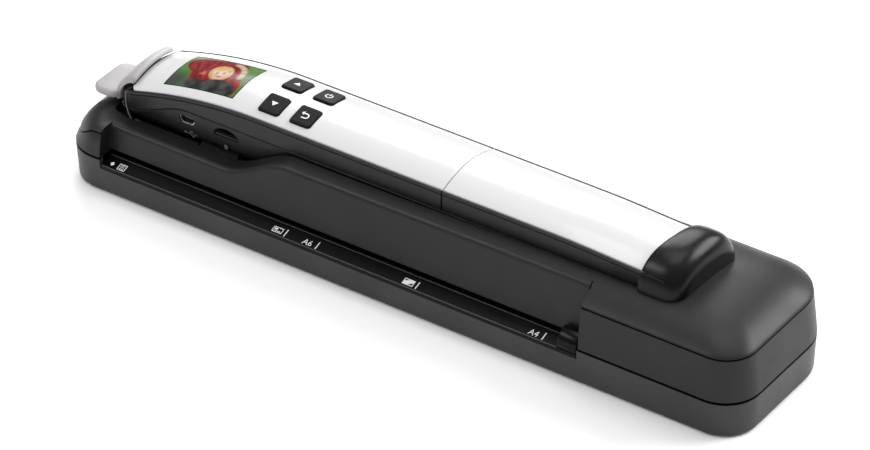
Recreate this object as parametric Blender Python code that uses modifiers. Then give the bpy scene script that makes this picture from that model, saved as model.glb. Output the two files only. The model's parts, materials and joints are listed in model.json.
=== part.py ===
"""Sheet-fed dock with a docked wand scanner, built piece by piece.

The frame's origin is the centre of the dock's underside. +X runs along the dock to the end with the
hood, -Y is the side the paper goes in, +Z is up. Sizes below are in millimetres; v() and MM turn
them into Blender's metres.
"""
import math

import bmesh
import bpy
from mathutils import Matrix, Vector

MM = 0.001

# Dock housing
DOCK_LENGTH = 316.0
DOCK_DEPTH = 72.0
FRONT_CORNER_R = 15.3
REAR_CORNER_R = 22.5
SEAM_Z = 16.2
SEAM_GAP = 0.4
BASE_INSET = 0.8
TOP_INSET = 1.8
BASE_FILLET = 1.0
BASE_BOTTOM_Z = 0.5
WALL = 2.0
FLOOR = 2.2

# Heights of the top: the rim falls from the hood end to the latch end, the shelf dips at the ports
RIM_RIGHT_Z = 35.0
RIM_LEFT_FRONT_Z = 28.0
RIM_LEFT_REAR_Z = 24.0
RIM_END_Z = 21.5      # rim round the latch end
BLOCK_Z = 31.8        # top of the block that carries the latch
SHELF_Z = 41.8
SHELF_RIGHT_Z = 43.4
DIP_Z = 28.3
DIP_END_X = -84.0
SHELF_START_X = -53.0
SHOULDER_RUN = 9.0
BLOCK_SHOULDER_RUN = 4.0

# Paper entry notch in the front
NOTCH_LEFT_X = -138.4
NOTCH_RIGHT_X = 87.0
WALL_FOOT_Y = -29.1
WALL_FOOT_Z = 18.0
WALL_TOP_Y = -26.1
WALL_TOP_Z = 41.0
STRIP_FRONT_Y = -35.8
STRIP_FRONT_Z = 13.1
STRIP_BACK_Z = 15.0
STRIP_THICK = 1.2

# Wand
WAND_Y = -1.4
WAND_LEFT_X = -141.3
WAND_RIGHT_X = 114.5
WAND_HALF_WIDTH = 17.9
PANEL_HALF_WIDTH = 16.8
WAND_BOTTOM_Z = 27.2
RIM_Z = 50.2
CROWN_R = 40.0
NOSE_START_X = -133.6
NOSE_FOOT_Z = 31.5
WHEEL_X = (-109.5, 49.5)
PANEL_START_X = -135.4
SPLIT_X = 14.5
SPLIT_GAP = 0.35
BELT_Z = 41.3
PANEL_THICK = 1.6
WAND_WALL = 1.6

# Screen and keys
SCREEN_X = (-122.0, -88.2)
SCREEN_HALF_DEPTH = 11.2
KEY_ROW_Y = 7.7
KEY_X = (-70.4, -55.4)
CONTROLS_SHIFT_Y = -1.0
KEY_SIZE = (9.6, 9.8)
KEY_TRAVEL = 0.6

# Hood over the wand's right end
HOOD_MOUTH_X = 104.2
HOOD_END_X = 122.0
HOOD_MOUTH_SKEW = 6.0
HOOD_END_SKEW = 2.5
HOOD_HALF_WIDTH = 20.8
HOOD_FOOT_Z = 38.0
HOOD_TOP_Z = 57.0
HOOD_SQUARENESS = 2.7
HOOD_GAP = 0.7

# Latch at the left end
LATCH_PIVOT = (-146.0, -1.4, 9.0)
LATCH_PIN_R = 1.15
HOOK_NEAR_Y = -15.2      # hook's ends, from the wand's centre line
HOOK_FAR_Y = 10.6
HOOK_REACH = 76.0
HOOK_GAP = 0.95
HOOK_THICK = 2.6

# Feed drive: module and tooth counts give every centre distance
GEAR_MODULE = 0.6
ROLLER_TEETH = 14
IDLER_TEETH = 24
PINION_TEETH = 12
GEAR_X = 94.0
GEAR_WIDTH = 3.0
BUSH_X = (-131.0, 89.4)
SIDES = ("left", "right")
SHAFT_Z = 19.6
FEED_SHAFT_Y = -10.0
EXIT_SHAFT_Y = 8.0
ROLLER_R = 6.9
SHAFT_R = 1.5
ROLLER_X = (-95.0, 35.0)
ROLLER_LENGTH = 18.0


def v(x, y, z):
    return Vector((x, y, z)) * MM


def smooth(t):
    t = min(max(t, 0.0), 1.0)
    return t * t * (3.0 - 2.0 * t)


def blend(a, b, t):
    return a + (b - a) * t


# ---------------------------------------------------------------- scene, collections, materials

for old in list(bpy.data.objects):
    bpy.data.objects.remove(old, do_unlink=True)

parts = bpy.data.collections.new("docked_wand_scanner")
cutters = bpy.data.collections.new("cutters")
bpy.context.scene.collection.children.link(parts)
bpy.context.scene.collection.children.link(cutters)


def make_material(name, color, roughness, metallic=0.0):
    material = bpy.data.materials.new(name)
    material.use_nodes = True
    shader = material.node_tree.nodes["Principled BSDF"]
    shader.inputs["Base Color"].default_value = (*color, 1.0)
    shader.inputs["Roughness"].default_value = roughness
    shader.inputs["Metallic"].default_value = metallic
    return material


BLACK = make_material("black_satin_plastic", (0.030, 0.029, 0.031), 0.45)
HOOD_BLACK = make_material("hood_plastic", (0.022, 0.022, 0.023), 0.38)
GLOSS_BLACK = make_material("gloss_black_plastic", (0.010, 0.010, 0.011), 0.15)
WHITE = make_material("gloss_white_plastic", (0.86, 0.86, 0.87), 0.15)
GREY = make_material("grey_latch_plastic", (0.56, 0.54, 0.54), 0.4)
KEY = make_material("key_plastic", (0.045, 0.045, 0.047), 0.35)
SCREEN = make_material("screen_window", (0.16, 0.22, 0.10), 0.1)
RUBBER = make_material("rubber", (0.03, 0.03, 0.03), 0.8)
STEEL = make_material("steel", (0.6, 0.6, 0.6), 0.3, 1.0)
BRASS = make_material("bronze_bush", (0.55, 0.38, 0.18), 0.4, 1.0)
NYLON = make_material("gear_nylon", (0.80, 0.79, 0.74), 0.5)
BOARD = make_material("circuit_board", (0.03, 0.16, 0.07), 0.5)
GLASS = make_material("scan_glass", (0.7, 0.75, 0.75), 0.05)
CELL = make_material("battery_wrap", (0.08, 0.10, 0.16), 0.5)


# ---------------------------------------------------------------- modelling helpers

def new_object(name, mesh, material, collection):
    obj = bpy.data.objects.new(name, mesh)
    collection.objects.link(obj)
    if material:
        mesh.materials.append(material)
    if collection is cutters:
        obj.hide_render = True
        obj.display_type = 'WIRE'
    return obj


def shade_round(obj, angle=35.0):
    obj.data.shade_smooth()
    obj.data.set_sharp_from_angle(angle=math.radians(angle))
    return obj


def bevel(obj, width, segments=2, angle=30.0):
    modifier = obj.modifiers.new("rounded_edges", 'BEVEL')
    modifier.width = width * MM
    modifier.segments = segments
    modifier.limit_method = 'ANGLE'
    modifier.angle_limit = math.radians(angle)
    return obj


def bake(obj):
    """Replace the object's mesh by its evaluated one, so later cutters see finished faces."""
    depsgraph = bpy.context.evaluated_depsgraph_get()
    mesh = bpy.data.meshes.new_from_object(obj.evaluated_get(depsgraph))
    obj.modifiers.clear()
    obj.data = mesh
    return obj


def boolean(obj, other, operation='DIFFERENCE'):
    modifier = obj.modifiers.new(operation.lower(), 'BOOLEAN')
    modifier.operation = operation
    modifier.solver = 'EXACT'
    modifier.object = other
    return obj


def cut(obj, *others):
    for other in others:
        boolean(obj, other)
    return obj


def join(obj, *others):
    for other in others:
        boolean(obj, other, 'UNION')
    return obj


def box(name, low, high, material=None, collection=parts, round_edges=0.0, segments=2):
    bm = bmesh.new()
    bmesh.ops.create_cube(bm, size=1.0)
    low, high = v(*low), v(*high)
    size = high - low
    bmesh.ops.scale(bm, vec=size, verts=bm.verts)
    mesh = bpy.data.meshes.new(name)
    bm.to_mesh(mesh)
    bm.free()
    obj = new_object(name, mesh, material, collection)
    obj.location = (low + high) / 2
    if round_edges:
        bevel(obj, round_edges, segments)
    return obj


AXIS_TURN = {'X': Matrix.Rotation(math.radians(90), 4, 'Y'),
             'Y': Matrix.Rotation(math.radians(-90), 4, 'X'),
             'Z': Matrix.Identity(4)}


def cylinder(name, centre, axis, radius, length, material=None, collection=parts, segments=24):
    bm = bmesh.new()
    bmesh.ops.create_cone(bm, cap_ends=True, segments=segments, radius1=radius * MM,
                          radius2=radius * MM, depth=length * MM)
    bmesh.ops.transform(bm, matrix=AXIS_TURN[axis], verts=bm.verts)
    mesh = bpy.data.meshes.new(name)
    bm.to_mesh(mesh)
    bm.free()
    obj = new_object(name, mesh, material, collection)
    obj.location = v(*centre)
    return shade_round(obj)


def curve_to_mesh(curve_obj, name, material, collection):
    depsgraph = bpy.context.evaluated_depsgraph_get()
    mesh = bpy.data.meshes.new_from_object(curve_obj.evaluated_get(depsgraph))
    bm = bmesh.new()
    bm.from_mesh(mesh)
    bmesh.ops.remove_doubles(bm, verts=bm.verts, dist=0.00001)
    bmesh.ops.recalc_face_normals(bm, faces=bm.faces)
    bm.to_mesh(mesh)
    bm.free()
    mesh.materials.clear()
    place = curve_obj.matrix_world.copy()
    bpy.data.objects.remove(curve_obj, do_unlink=True)
    obj = new_object(name, mesh, material, collection)
    obj.matrix_world = place
    return obj


# A flat outline lies in one of these planes and gets its thickness along the remaining axis.
PLANE_TURN = {'XY': Matrix.Identity(4),
              'XZ': Matrix.Rotation(math.radians(90), 4, 'X'),
              'YZ': Matrix.Rotation(math.radians(90), 4, 'Z') @ Matrix.Rotation(math.radians(90), 4, 'X')}


def plate(name, outline, plane, start, end, material=None, collection=parts):
    """Solid with a flat outline; start and end are its faces along the plane's normal."""
    curve = bpy.data.curves.new(name, 'CURVE')
    curve.dimensions = '2D'
    curve.fill_mode = 'BOTH'
    curve.extrude = (end - start) / 2 * MM
    spline = curve.splines.new('POLY')
    spline.points.add(len(outline) - 1)
    for point, (a, b) in zip(spline.points, outline):
        point.co = (a * MM, b * MM, 0.0, 1.0)
    spline.use_cyclic_u = True
    obj = bpy.data.objects.new(name, curve)
    cutters.objects.link(obj)
    middle = (start + end) / 2 * MM
    offset = {'XY': Vector((0, 0, middle)), 'XZ': Vector((0, middle, 0)), 'YZ': Vector((middle, 0, 0))}
    obj.matrix_world = Matrix.Translation(offset[plane]) @ PLANE_TURN[plane]
    bpy.context.view_layer.update()
    return curve_to_mesh(obj, name, material, collection)


def wire(name, points, radius, material, collection=parts):
    """Round wire along the points, with filled ends."""
    curve = bpy.data.curves.new(name, 'CURVE')
    curve.dimensions = '3D'
    curve.bevel_depth = radius * MM
    curve.bevel_resolution = 1
    curve.use_fill_caps = True
    spline = curve.splines.new('POLY')
    spline.points.add(len(points) - 1)
    for point, place in zip(spline.points, points):
        point.co = (*v(*place), 1.0)
    obj = bpy.data.objects.new(name, curve)
    cutters.objects.link(obj)
    bpy.context.view_layer.update()
    return shade_round(curve_to_mesh(obj, name, material, collection), 60.0)


def loft(name, sections, material=None, collection=parts):
    """Closed solid through loops of equal length, capped at both ends."""
    bm = bmesh.new()
    rings = [[bm.verts.new(v(*point)) for point in section] for section in sections]
    count = len(rings[0])
    for near, far in zip(rings, rings[1:]):
        for i in range(count):
            j = (i + 1) % count
            bm.faces.new((near[i], near[j], far[j], far[i]))
    bm.faces.new(rings[0])
    bm.faces.new(list(reversed(rings[-1])))
    bmesh.ops.remove_doubles(bm, verts=bm.verts, dist=0.00001)
    bmesh.ops.recalc_face_normals(bm, faces=bm.faces)
    mesh = bpy.data.meshes.new(name)
    bm.to_mesh(mesh)
    bm.free()
    return new_object(name, mesh, material, collection)


def rounded_rectangle(half_x, half_y, radius, steps=4, centre=(0.0, 0.0)):
    points = []
    for sx, sy, first in ((1, 1, 0), (-1, 1, 90), (-1, -1, 180), (1, -1, 270)):
        for k in range(steps + 1):
            turn = math.radians(first + 90.0 * k / steps)
            points.append((centre[0] + sx * (half_x - radius) + radius * math.cos(turn),
                           centre[1] + sy * (half_y - radius) + radius * math.sin(turn)))
    return points


# ---------------------------------------------------------------- dock housing surfaces

CORNER_STEPS = 5
LONG_SIDE_X = [128, 112, 100, 80, 50, 15, -20, -40, -50, -56, -62, -68, -74, -80, -86, -98, -115, -130]


def dock_outline(inset):
    """Plan outline of the housing, anticlockwise from the right end of the rear side."""
    half_x = DOCK_LENGTH / 2 - inset
    half_y = DOCK_DEPTH / 2 - inset
    rear_r = REAR_CORNER_R - inset
    front_r = FRONT_CORNER_R - inset
    points = []

    def corner(cx, cy, radius, first):
        for k in range(CORNER_STEPS + 1):
            turn = math.radians(first + 90.0 * k / CORNER_STEPS)
            points.append((cx + radius * math.cos(turn), cy + radius * math.sin(turn)))

    corner(half_x - rear_r, half_y - rear_r, rear_r, 0)
    points.extend((x, half_y) for x in LONG_SIDE_X)
    corner(-half_x + rear_r, half_y - rear_r, rear_r, 90)
    corner(-half_x + front_r, -half_y + front_r, front_r, 180)
    points.extend((x, -half_y) for x in reversed(LONG_SIDE_X))
    corner(half_x - front_r, -half_y + front_r, front_r, 270)
    return points


def rim_height(x, y):
    """Height of the top shell's outer edge."""
    rear = smooth((y + 22.0) / 44.0)
    front_rise = smooth((x - DIP_END_X) / (SHELF_START_X - DIP_END_X))
    front_z = blend(RIM_LEFT_FRONT_Z, RIM_RIGHT_Z, front_rise)
    rear_z = blend(RIM_LEFT_REAR_Z, RIM_RIGHT_Z, smooth((x + 60.0) / 175.0))
    return blend(blend(front_z, rear_z, rear), RIM_END_Z, smooth((-140.0 - x) / 14.0))


def crown_height(x, y):
    """Height the top shell reaches well inside its rim."""
    right_z = blend(SHELF_Z, SHELF_RIGHT_Z, smooth((x + 50.0) / 140.0))
    rise = smooth((x - DIP_END_X) / (SHELF_START_X - DIP_END_X))
    low_z = blend(DIP_Z, RIM_LEFT_REAR_Z + 2.4, smooth((y - 2.0) / 24.0))
    rear_fall = 3.0 * smooth((y - 12.0) / 20.0) * smooth((110.0 - x) / 40.0)
    return blend(blend(low_z, right_z - rear_fall, rise), BLOCK_Z, smooth((-136.0 - x) / 10.0))


def shoulder(distance, x):
    """Share of the rise from rim to crown at this distance inside the rim."""
    return 1.0 - math.exp(-distance / blend(BLOCK_SHOULDER_RUN, SHOULDER_RUN, smooth((x + 140.0) / 30.0)))


def roof_height(x, y):
    """Height of the top shell's outer face at this place along its straight run."""
    edge = DOCK_DEPTH / 2 - TOP_INSET
    return blend(rim_height(x, math.copysign(edge, y)), crown_height(x, y), shoulder(edge - abs(y), x))


INWARD = [0.0, 0.9, 2.6, 5.2, 8.4, 12.5, 18.0, 25.0]


def dock_top_solid(name, inset=0.0, drop=0.0, foot_z=SEAM_Z + SEAM_GAP / 2, collection=parts,
                   material=None):
    """Upper housing as a full solid; inset and drop shrink it evenly for the hollow inside."""
    outer = dock_outline(inset)
    rim = dock_outline(inset + TOP_INSET)
    half_y = DOCK_DEPTH / 2 - inset - TOP_INSET
    spine_end = DOCK_LENGTH / 2 - inset - TOP_INSET - half_y
    bm = bmesh.new()
    rings = [[bm.verts.new(v(x, y, foot_z)) for x, y in outer]]
    for distance in INWARD:
        ring = []
        for x, y in rim:
            spine_x = min(max(x, -spine_end), spine_end)
            share = distance / half_y
            px = blend(x, spine_x, share)
            py = blend(y, 0.0, share)
            pz = blend(rim_height(x, y), crown_height(px, py), shoulder(distance, px)) - drop
            ring.append(bm.verts.new(v(px, py, pz)))
        rings.append(ring)
    spine = []
    for x, y in rim:
        spine_x = min(max(x, -spine_end), spine_end)
        pz = blend(rim_height(x, y), crown_height(spine_x, 0.0), 1.0) - drop
        spine.append(bm.verts.new(v(spine_x, 0.0, pz)))
    rings.append(spine)
    count = len(outer)
    for near, far in zip(rings, rings[1:]):
        for i in range(count):
            j = (i + 1) % count
            bm.faces.new((near[i], near[j], far[j], far[i]))
    bm.faces.new(list(reversed(rings[0])))
    bmesh.ops.remove_doubles(bm, verts=bm.verts, dist=0.00002)
    bmesh.ops.dissolve_degenerate(bm, dist=0.00001, edges=bm.edges)
    bmesh.ops.triangulate(bm, faces=[f for f in bm.faces if len(f.verts) == 4])
    bmesh.ops.recalc_face_normals(bm, faces=bm.faces)
    mesh = bpy.data.meshes.new(name)
    bm.to_mesh(mesh)
    bm.free()
    return new_object(name, mesh, material, collection)


def dock_base_solid(name, inset, floor_z, top_z, collection=parts, material=None):
    """Lower housing as a full solid, narrower at the bottom than at the seam."""
    levels = [(BASE_INSET + BASE_FILLET, BASE_BOTTOM_Z),
              (BASE_INSET + BASE_FILLET * 0.3, BASE_BOTTOM_Z + BASE_FILLET * 0.45),
              (BASE_INSET * 0.86, BASE_BOTTOM_Z + BASE_FILLET * 1.5), (0.0, SEAM_Z)]
    if floor_z > 0.0:
        levels = [(BASE_INSET, floor_z), (0.0, SEAM_Z)]
    sections = []
    for side_inset, z in levels:
        height = top_z if z == SEAM_Z else z
        sections.append([(x, y, height) for x, y in dock_outline(inset + side_inset)])
    return loft(name, sections, material, collection)


def leaning_outline(shift):
    """YZ outline of the space in front of the leaning wall, moved back by shift."""
    slope = (WALL_TOP_Y - WALL_FOOT_Y) / (WALL_TOP_Z - WALL_FOOT_Z)
    low_z, high_z = 5.0, 60.0
    low_y = WALL_FOOT_Y + (low_z - WALL_FOOT_Z) * slope + shift
    high_y = WALL_FOOT_Y + (high_z - WALL_FOOT_Z) * slope + shift
    return [(-50.0, low_z), (low_y, low_z), (high_y, high_z), (-50.0, high_z)]


# ---------------------------------------------------------------- wand surfaces

def wand_rim(x):
    """Height of the white panel's long edges: it falls away towards the screen end."""
    droop = 1.4 * smooth((x - 66.0) / 44.0)
    fall = 0.00255 * max(-72.0 - x, 0.0) ** 2
    return RIM_Z - droop - fall


def crown_rise(offset):
    """Height of the panel above its long edges at this offset from its centre line."""
    return (PANEL_HALF_WIDTH ** 2 - offset ** 2) / (2.0 * CROWN_R)


def nose_share(x):
    """Runs from 0 where the nose starts to 1 at its tip."""
    return min(max((NOSE_START_X - x) / (NOSE_START_X - WAND_LEFT_X), 0.0), 1.0)


def wand_top(x, offset):
    height = wand_rim(max(x, NOSE_START_X)) + crown_rise(offset)
    return blend(NOSE_FOOT_Z, height, math.sqrt(max(1.0 - nose_share(x) ** 2, 0.0)))


def wand_half_width(x):
    return WAND_HALF_WIDTH - 4.2 * (1.0 - math.sqrt(max(1.0 - nose_share(x) ** 2, 0.0)))


def belt_height(x):
    """Parting line between the wand's lower and upper casings."""
    return BELT_Z - 9.0 * smooth((-106.0 - x) / 30.0)


NOSE_X = [WAND_LEFT_X, -141.0, -140.2, -138.8, -136.6, NOSE_START_X]
FALL_X = [-128.0, -120.0, -110.0, -98.0, -84.0, -70.0]


def wand_stations(start, end):
    between = [x for x in NOSE_X + FALL_X + [66.0, 80.0, 95.0, 110.0] if start < x < end]
    return [start] + between + [end]


CROWN_OFFSETS = [-1.0, -0.72, -0.45, -0.2, 0.0, 0.2, 0.45, 0.72, 1.0]


def upper_section(x, grow=0.0, foot_gap=0.2):
    """Wand outline above the parting line, at this x."""
    half = wand_half_width(x) + grow
    foot = belt_height(x) + foot_gap
    edge = max(wand_top(x, PANEL_HALF_WIDTH), foot + 0.4) + grow
    loop = [(x, WAND_Y - half, foot), (x, WAND_Y - half, max(edge - 1.2, foot + 0.2))]
    for share in CROWN_OFFSETS:
        offset = share * (half - 0.6)
        top = max(wand_top(x, min(abs(offset), PANEL_HALF_WIDTH)), foot + 0.4) + grow
        loop.append((x, WAND_Y + offset, top))
    loop.append((x, WAND_Y + half, max(edge - 1.2, foot + 0.2)))
    loop.append((x, WAND_Y + half, foot))
    return loop


def lower_section(x, grow=0.0):
    """Wand outline below the parting line, at this x."""
    half = wand_half_width(x) + grow
    nose = 1.0 - math.sqrt(max(1.0 - nose_share(x) ** 2, 0.0))
    bottom = WAND_BOTTOM_Z + 2.6 * nose - grow
    top = belt_height(x) - 0.2
    radius = min(5.0, top - bottom - 0.4)
    loop = [(x, WAND_Y + half, top)]
    for k in range(5):
        turn = math.radians(-90.0 * k / 4)
        loop.append((x, WAND_Y + half - 0.5 - radius + radius * math.cos(turn),
                     bottom + radius + radius * math.sin(turn)))
    loop.extend((x, 2 * WAND_Y - y, z) for _, y, z in reversed(loop[1:6]))
    loop.append((x, WAND_Y - half, top))
    return loop


def panel_section(x, half, top_lift, thickness):
    """Crowned panel: the loop runs over its top and back under it."""
    half -= WAND_HALF_WIDTH - wand_half_width(x)
    over = [(x, WAND_Y + s * half, wand_top(x, abs(s) * half) + top_lift) for s in CROWN_OFFSETS]
    under = [(x, y, z - thickness) for x, y, z in reversed(over)]
    return over + under


def panel(name, start, end, half, top_lift, thickness, material=None, collection=parts):
    return loft(name, [panel_section(x, half, top_lift, thickness) for x in wand_stations(start, end)],
                material, collection)


# ---------------------------------------------------------------- dock housing

def build_top_shell():
    shell = dock_top_solid("top_shell", material=BLACK)
    hollow = dock_top_solid("top_hollow", inset=WALL, drop=WALL, foot_z=SEAM_Z - 3.0, collection=cutters)
    keep_wall = plate("notch_backing", leaning_outline(WALL), 'YZ', NOTCH_LEFT_X - WALL,
                      NOTCH_RIGHT_X + WALL, None, cutters)
    keep_cradle = box("cradle_block", (WAND_LEFT_X - 3.2, WAND_Y - WAND_HALF_WIDTH - 2.6, 24.8),
                      (WAND_RIGHT_X + 3.2, WAND_Y + WAND_HALF_WIDTH + 2.6, 60.0), None, cutters)
    cut(hollow, keep_wall, keep_cradle)
    bake(hollow)
    notch = plate("notch_space", leaning_outline(0.0), 'YZ', NOTCH_LEFT_X, NOTCH_RIGHT_X + 0.6,
                  None, cutters)
    cradle = cradle_space()
    window = box("scan_window", (-138.0, -18.5, 20.0), (83.0, 15.5, 32.0), None, cutters)
    exit_slot = box("exit_slot", (NOTCH_LEFT_X, 24.0, 10.0), (80.0, 45.0, 22.0), None, cutters)
    stem_slot = box("stem_slot", (-154.1, -8.4, 20.0), (-143.6, 5.6, 45.0), None, cutters)
    sheet_slot = box("sheet_slot", (NOTCH_LEFT_X, -32.0, 10.0), (NOTCH_RIGHT_X, -24.0, 17.6), None, cutters)
    cut(shell, hollow, notch, cradle, window, exit_slot, stem_slot, sheet_slot)
    bake(shell)
    for k, (x, y) in enumerate(SCREW_PLACES):
        top_z = min(roof_height(x, y), rim_height(x, y) + 6.0) - 1.0
        join(shell, cylinder(f"top_post_{k}", (x, y, (14.2 + top_z) / 2), 'Z', 3.4, top_z - 14.2,
                             None, cutters, 16))
    bake(shell)
    for k, (x, y) in enumerate(SCREW_PLACES):
        cut(shell, cylinder(f"top_screw_hole_{k}", (x, y, 17.6), 'Z', 1.5, 9.0, None, cutters, 12))
    return bake(shell)


def cradle_space():
    """Room for the wand: its plan outline with a running gap, open upwards."""
    gap = 0.9
    half = WAND_HALF_WIDTH + gap
    centre_x = (WAND_LEFT_X + WAND_RIGHT_X) / 2
    outline = rounded_rectangle((WAND_RIGHT_X - WAND_LEFT_X) / 2 + 1.2, half, 1.5, 2,
                                (centre_x, WAND_Y))
    return plate("cradle_space", outline, 'XY', WAND_BOTTOM_Z - 0.9, 70.0, None, cutters)


def build_base_shell():
    shell = dock_base_solid("base_shell", 0.0, 0.0, SEAM_Z - SEAM_GAP / 2, material=BLACK)
    hollow = dock_base_solid("base_hollow", WALL, FLOOR, 30.0, cutters)
    cut(shell, hollow)
    bake(shell)
    for k, (x, y) in enumerate(SCREW_PLACES):
        join(shell, cylinder(f"screw_post_{k}", (x, y, 7.6), 'Z', 3.6, 12.0, None, cutters, 16))
    for side in (-1, 1):
        y = LATCH_PIVOT[1] + side * 9.0
        ear = box(f"latch_ear_{side}", (-149.6, y - 1.2, 1.0), (-142.4, y + 1.2, 12.6), None, cutters)
        join(shell, ear)
    bake(shell)
    for k, (x, y) in enumerate(SCREW_PLACES):
        cut(shell, cylinder(f"screw_hole_{k}", (x, y, 7.0), 'Z', 1.6, 20.0, None, cutters, 12),
            cylinder(f"screw_sink_{k}", (x, y, 0.0), 'Z', 2.9, 3.3, None, cutters, 16))
    for k, (x, y) in enumerate(FOOT_PLACES):
        cut(shell, cylinder(f"foot_recess_{k}", (x, y, 0.0), 'Z', 5.2, 2.8, None, cutters, 20))
    bake(shell)
    pin_bore = cylinder("latch_bore", LATCH_PIVOT, 'Y', LATCH_PIN_R + 0.3, 26.0, None, cutters, 16)
    jack_hole = cylinder("jack_hole", (130.0, 36.0, 9.0), 'Y', 3.2, 12.0, None, cutters, 16)
    lowered = box("slot_relief", (NOTCH_LEFT_X, -50.0, STRIP_FRONT_Z - STRIP_THICK - 0.4),
                  (NOTCH_RIGHT_X, -27.0, 40.0), None, cutters)
    cut(shell, pin_bore, jack_hole, lowered)
    return bake(shell)


SCREW_PLACES = [(-147.5, -19.0), (-147.5, 16.0), (110.0, -26.0), (110.0, 25.0)]
SCREW_NAMES = ("case_screw_front_left", "case_screw_rear_left", "case_screw_front_right",
               "case_screw_rear_right")
FOOT_PLACES = [(-130.0, -24.0), (-130.0, 22.0), (138.0, -20.0), (138.0, 18.0)]
FOOT_NAMES = ("foot_front_left", "foot_rear_left", "foot_front_right", "foot_rear_right")


def build_hood():
    sections = []
    shape = [(HOOD_MOUTH_X, 0.965), (105.2, 0.995), (110.0, 1.0), (114.5, 0.985), (117.6, 0.94),
             (119.8, 0.86), (121.2, 0.74), (HOOD_END_X, 0.50)]
    steps = 14
    for x, share in shape:
        half = HOOD_HALF_WIDTH * (0.80 + 0.20 * share) * (1.0 if x < 111.0 else 0.6 + 0.4 * share)
        rise = (HOOD_TOP_Z - HOOD_FOOT_Z) * share
        skew = blend(HOOD_MOUTH_SKEW, HOOD_END_SKEW, (x - HOOD_MOUTH_X) / (HOOD_END_X - HOOD_MOUTH_X))
        loop = []
        for k in range(steps + 1):
            turn = math.pi * k / steps
            c, s = math.cos(turn), math.sin(turn)
            y = math.copysign(abs(c) ** (2.0 / HOOD_SQUARENESS), c) * half
            z = abs(s) ** (2.0 / HOOD_SQUARENESS) * rise
            shift = skew * (0.5 + 0.5 * y / HOOD_HALF_WIDTH)
            loop.append((x + shift, WAND_Y + y, HOOD_FOOT_Z + z))
        sections.append(loop)
    hood = loft("hood", sections, HOOD_BLACK)
    seat = dock_top_solid("hood_seat", drop=-0.3, foot_z=0.0, collection=cutters)
    tunnel_x = (95.0, 103.0, 110.0, WAND_RIGHT_X + 0.6)
    tunnel = loft("hood_tunnel", [upper_section(x, HOOD_GAP, -8.0) for x in tunnel_x], None, cutters)
    cut(hood, seat, tunnel)
    return shade_round(bake(hood), 40.0)


def build_dock():
    build_top_shell()
    build_base_shell()
    build_hood()
    slope = (STRIP_BACK_Z - STRIP_FRONT_Z) / (WALL_FOOT_Y - STRIP_FRONT_Y)
    strip_outline = [(STRIP_FRONT_Y, STRIP_FRONT_Z - STRIP_THICK),
                     (WALL_FOOT_Y, STRIP_FRONT_Z - STRIP_THICK),
                     (WALL_FOOT_Y, STRIP_BACK_Z),
                     (STRIP_FRONT_Y + 0.4, STRIP_FRONT_Z + 0.4 * slope),
                     (STRIP_FRONT_Y, STRIP_FRONT_Z - 0.3)]
    plate("feed_strip", strip_outline, 'YZ', NOTCH_LEFT_X + 0.4, NOTCH_RIGHT_X - 0.4, GLOSS_BLACK)
    guide_outline = [(STRIP_FRONT_Y - 0.1, STRIP_FRONT_Z + 0.4), (WALL_FOOT_Y - 0.4, STRIP_BACK_Z + 0.4),
                     (WALL_FOOT_Y - 0.4, 20.8)]
    for k in range(5):
        turn = math.radians(90.0 + 90.0 * k / 4)
        guide_outline.append((-30.6 + 5.2 * math.cos(turn) - 0.1, 15.6 + 5.2 * math.sin(turn)))
    guide = plate("edge_guide", guide_outline, 'YZ', 78.0, NOTCH_RIGHT_X - 0.3, GLOSS_BLACK)
    bevel(guide, 0.9, 2, 50.0)

    path = [(-28.7, 14.9), (-27.0, 15.0), (-14.5, 24.3), (-12.5, 25.3), (9.5, 25.3), (12.5, 24.4),
            (24.0, 18.8), (31.6, 17.4)]
    under = [(y, z - 1.3) for y, z in reversed(path)]
    paper_bed = plate("paper_bed", path + under, 'YZ', NOTCH_LEFT_X + 0.8, 77.4, BLACK)
    for k, x in enumerate(ROLLER_X):
        for y in (FEED_SHAFT_Y, EXIT_SHAFT_Y):
            cut(paper_bed, box(f"roller_window_{k}_{y}", (x - ROLLER_LENGTH / 2 - 1.0, y - 7.2, 10.0),
                               (x + ROLLER_LENGTH / 2 + 1.0, y + 7.2, 30.0), None, cutters))
    bake(paper_bed)
    box("backing_pad", (-134.0, -2.6, 25.6), (76.0, 0.6, 26.4), WHITE)
    for name, (x, y) in zip(FOOT_NAMES, FOOT_PLACES):
        foot = cylinder(name, (x, y, 0.6), 'Z', 4.9, 1.2, RUBBER, parts, 20)
        bevel(foot, 0.3, 1)
    for name, (x, y) in zip(SCREW_NAMES, SCREW_PLACES):
        screw = cylinder(name, (x, y, 11.1), 'Z', 1.25, 19.6, STEEL, parts, 12)
        join(screw, cylinder(name + "_head", (x, y, 1.15), 'Z', 2.6, 0.9, None, cutters, 16))
        bake(screw)


# ---------------------------------------------------------------- feed drive

def gear_outline(teeth, turn=0.0, thinning=0.10):
    """Stub-tooth spur gear outline: straight-sided flanks either side of the pitch circle."""
    pitch_r = GEAR_MODULE * teeth / 2
    tip_r = pitch_r + 0.8 * GEAR_MODULE
    root_r = pitch_r - 1.05 * GEAR_MODULE
    half_tooth = math.pi / (2 * teeth) * (1.0 - thinning)
    tip_half = half_tooth - math.tan(math.radians(20)) * 0.8 * GEAR_MODULE / pitch_r
    root_half = half_tooth + math.tan(math.radians(20)) * 0.9 * GEAR_MODULE / pitch_r
    points = []
    for k in range(teeth):
        middle = turn + 2 * math.pi * k / teeth
        for radius, half in ((root_r, -root_half), (tip_r, -tip_half), (tip_r, tip_half),
                             (root_r, root_half)):
            points.append((radius * math.cos(middle + half), radius * math.sin(middle + half)))
    return points


def shifted(outline, y, z):
    return [(a + y, b + z) for a, b in outline]


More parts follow.
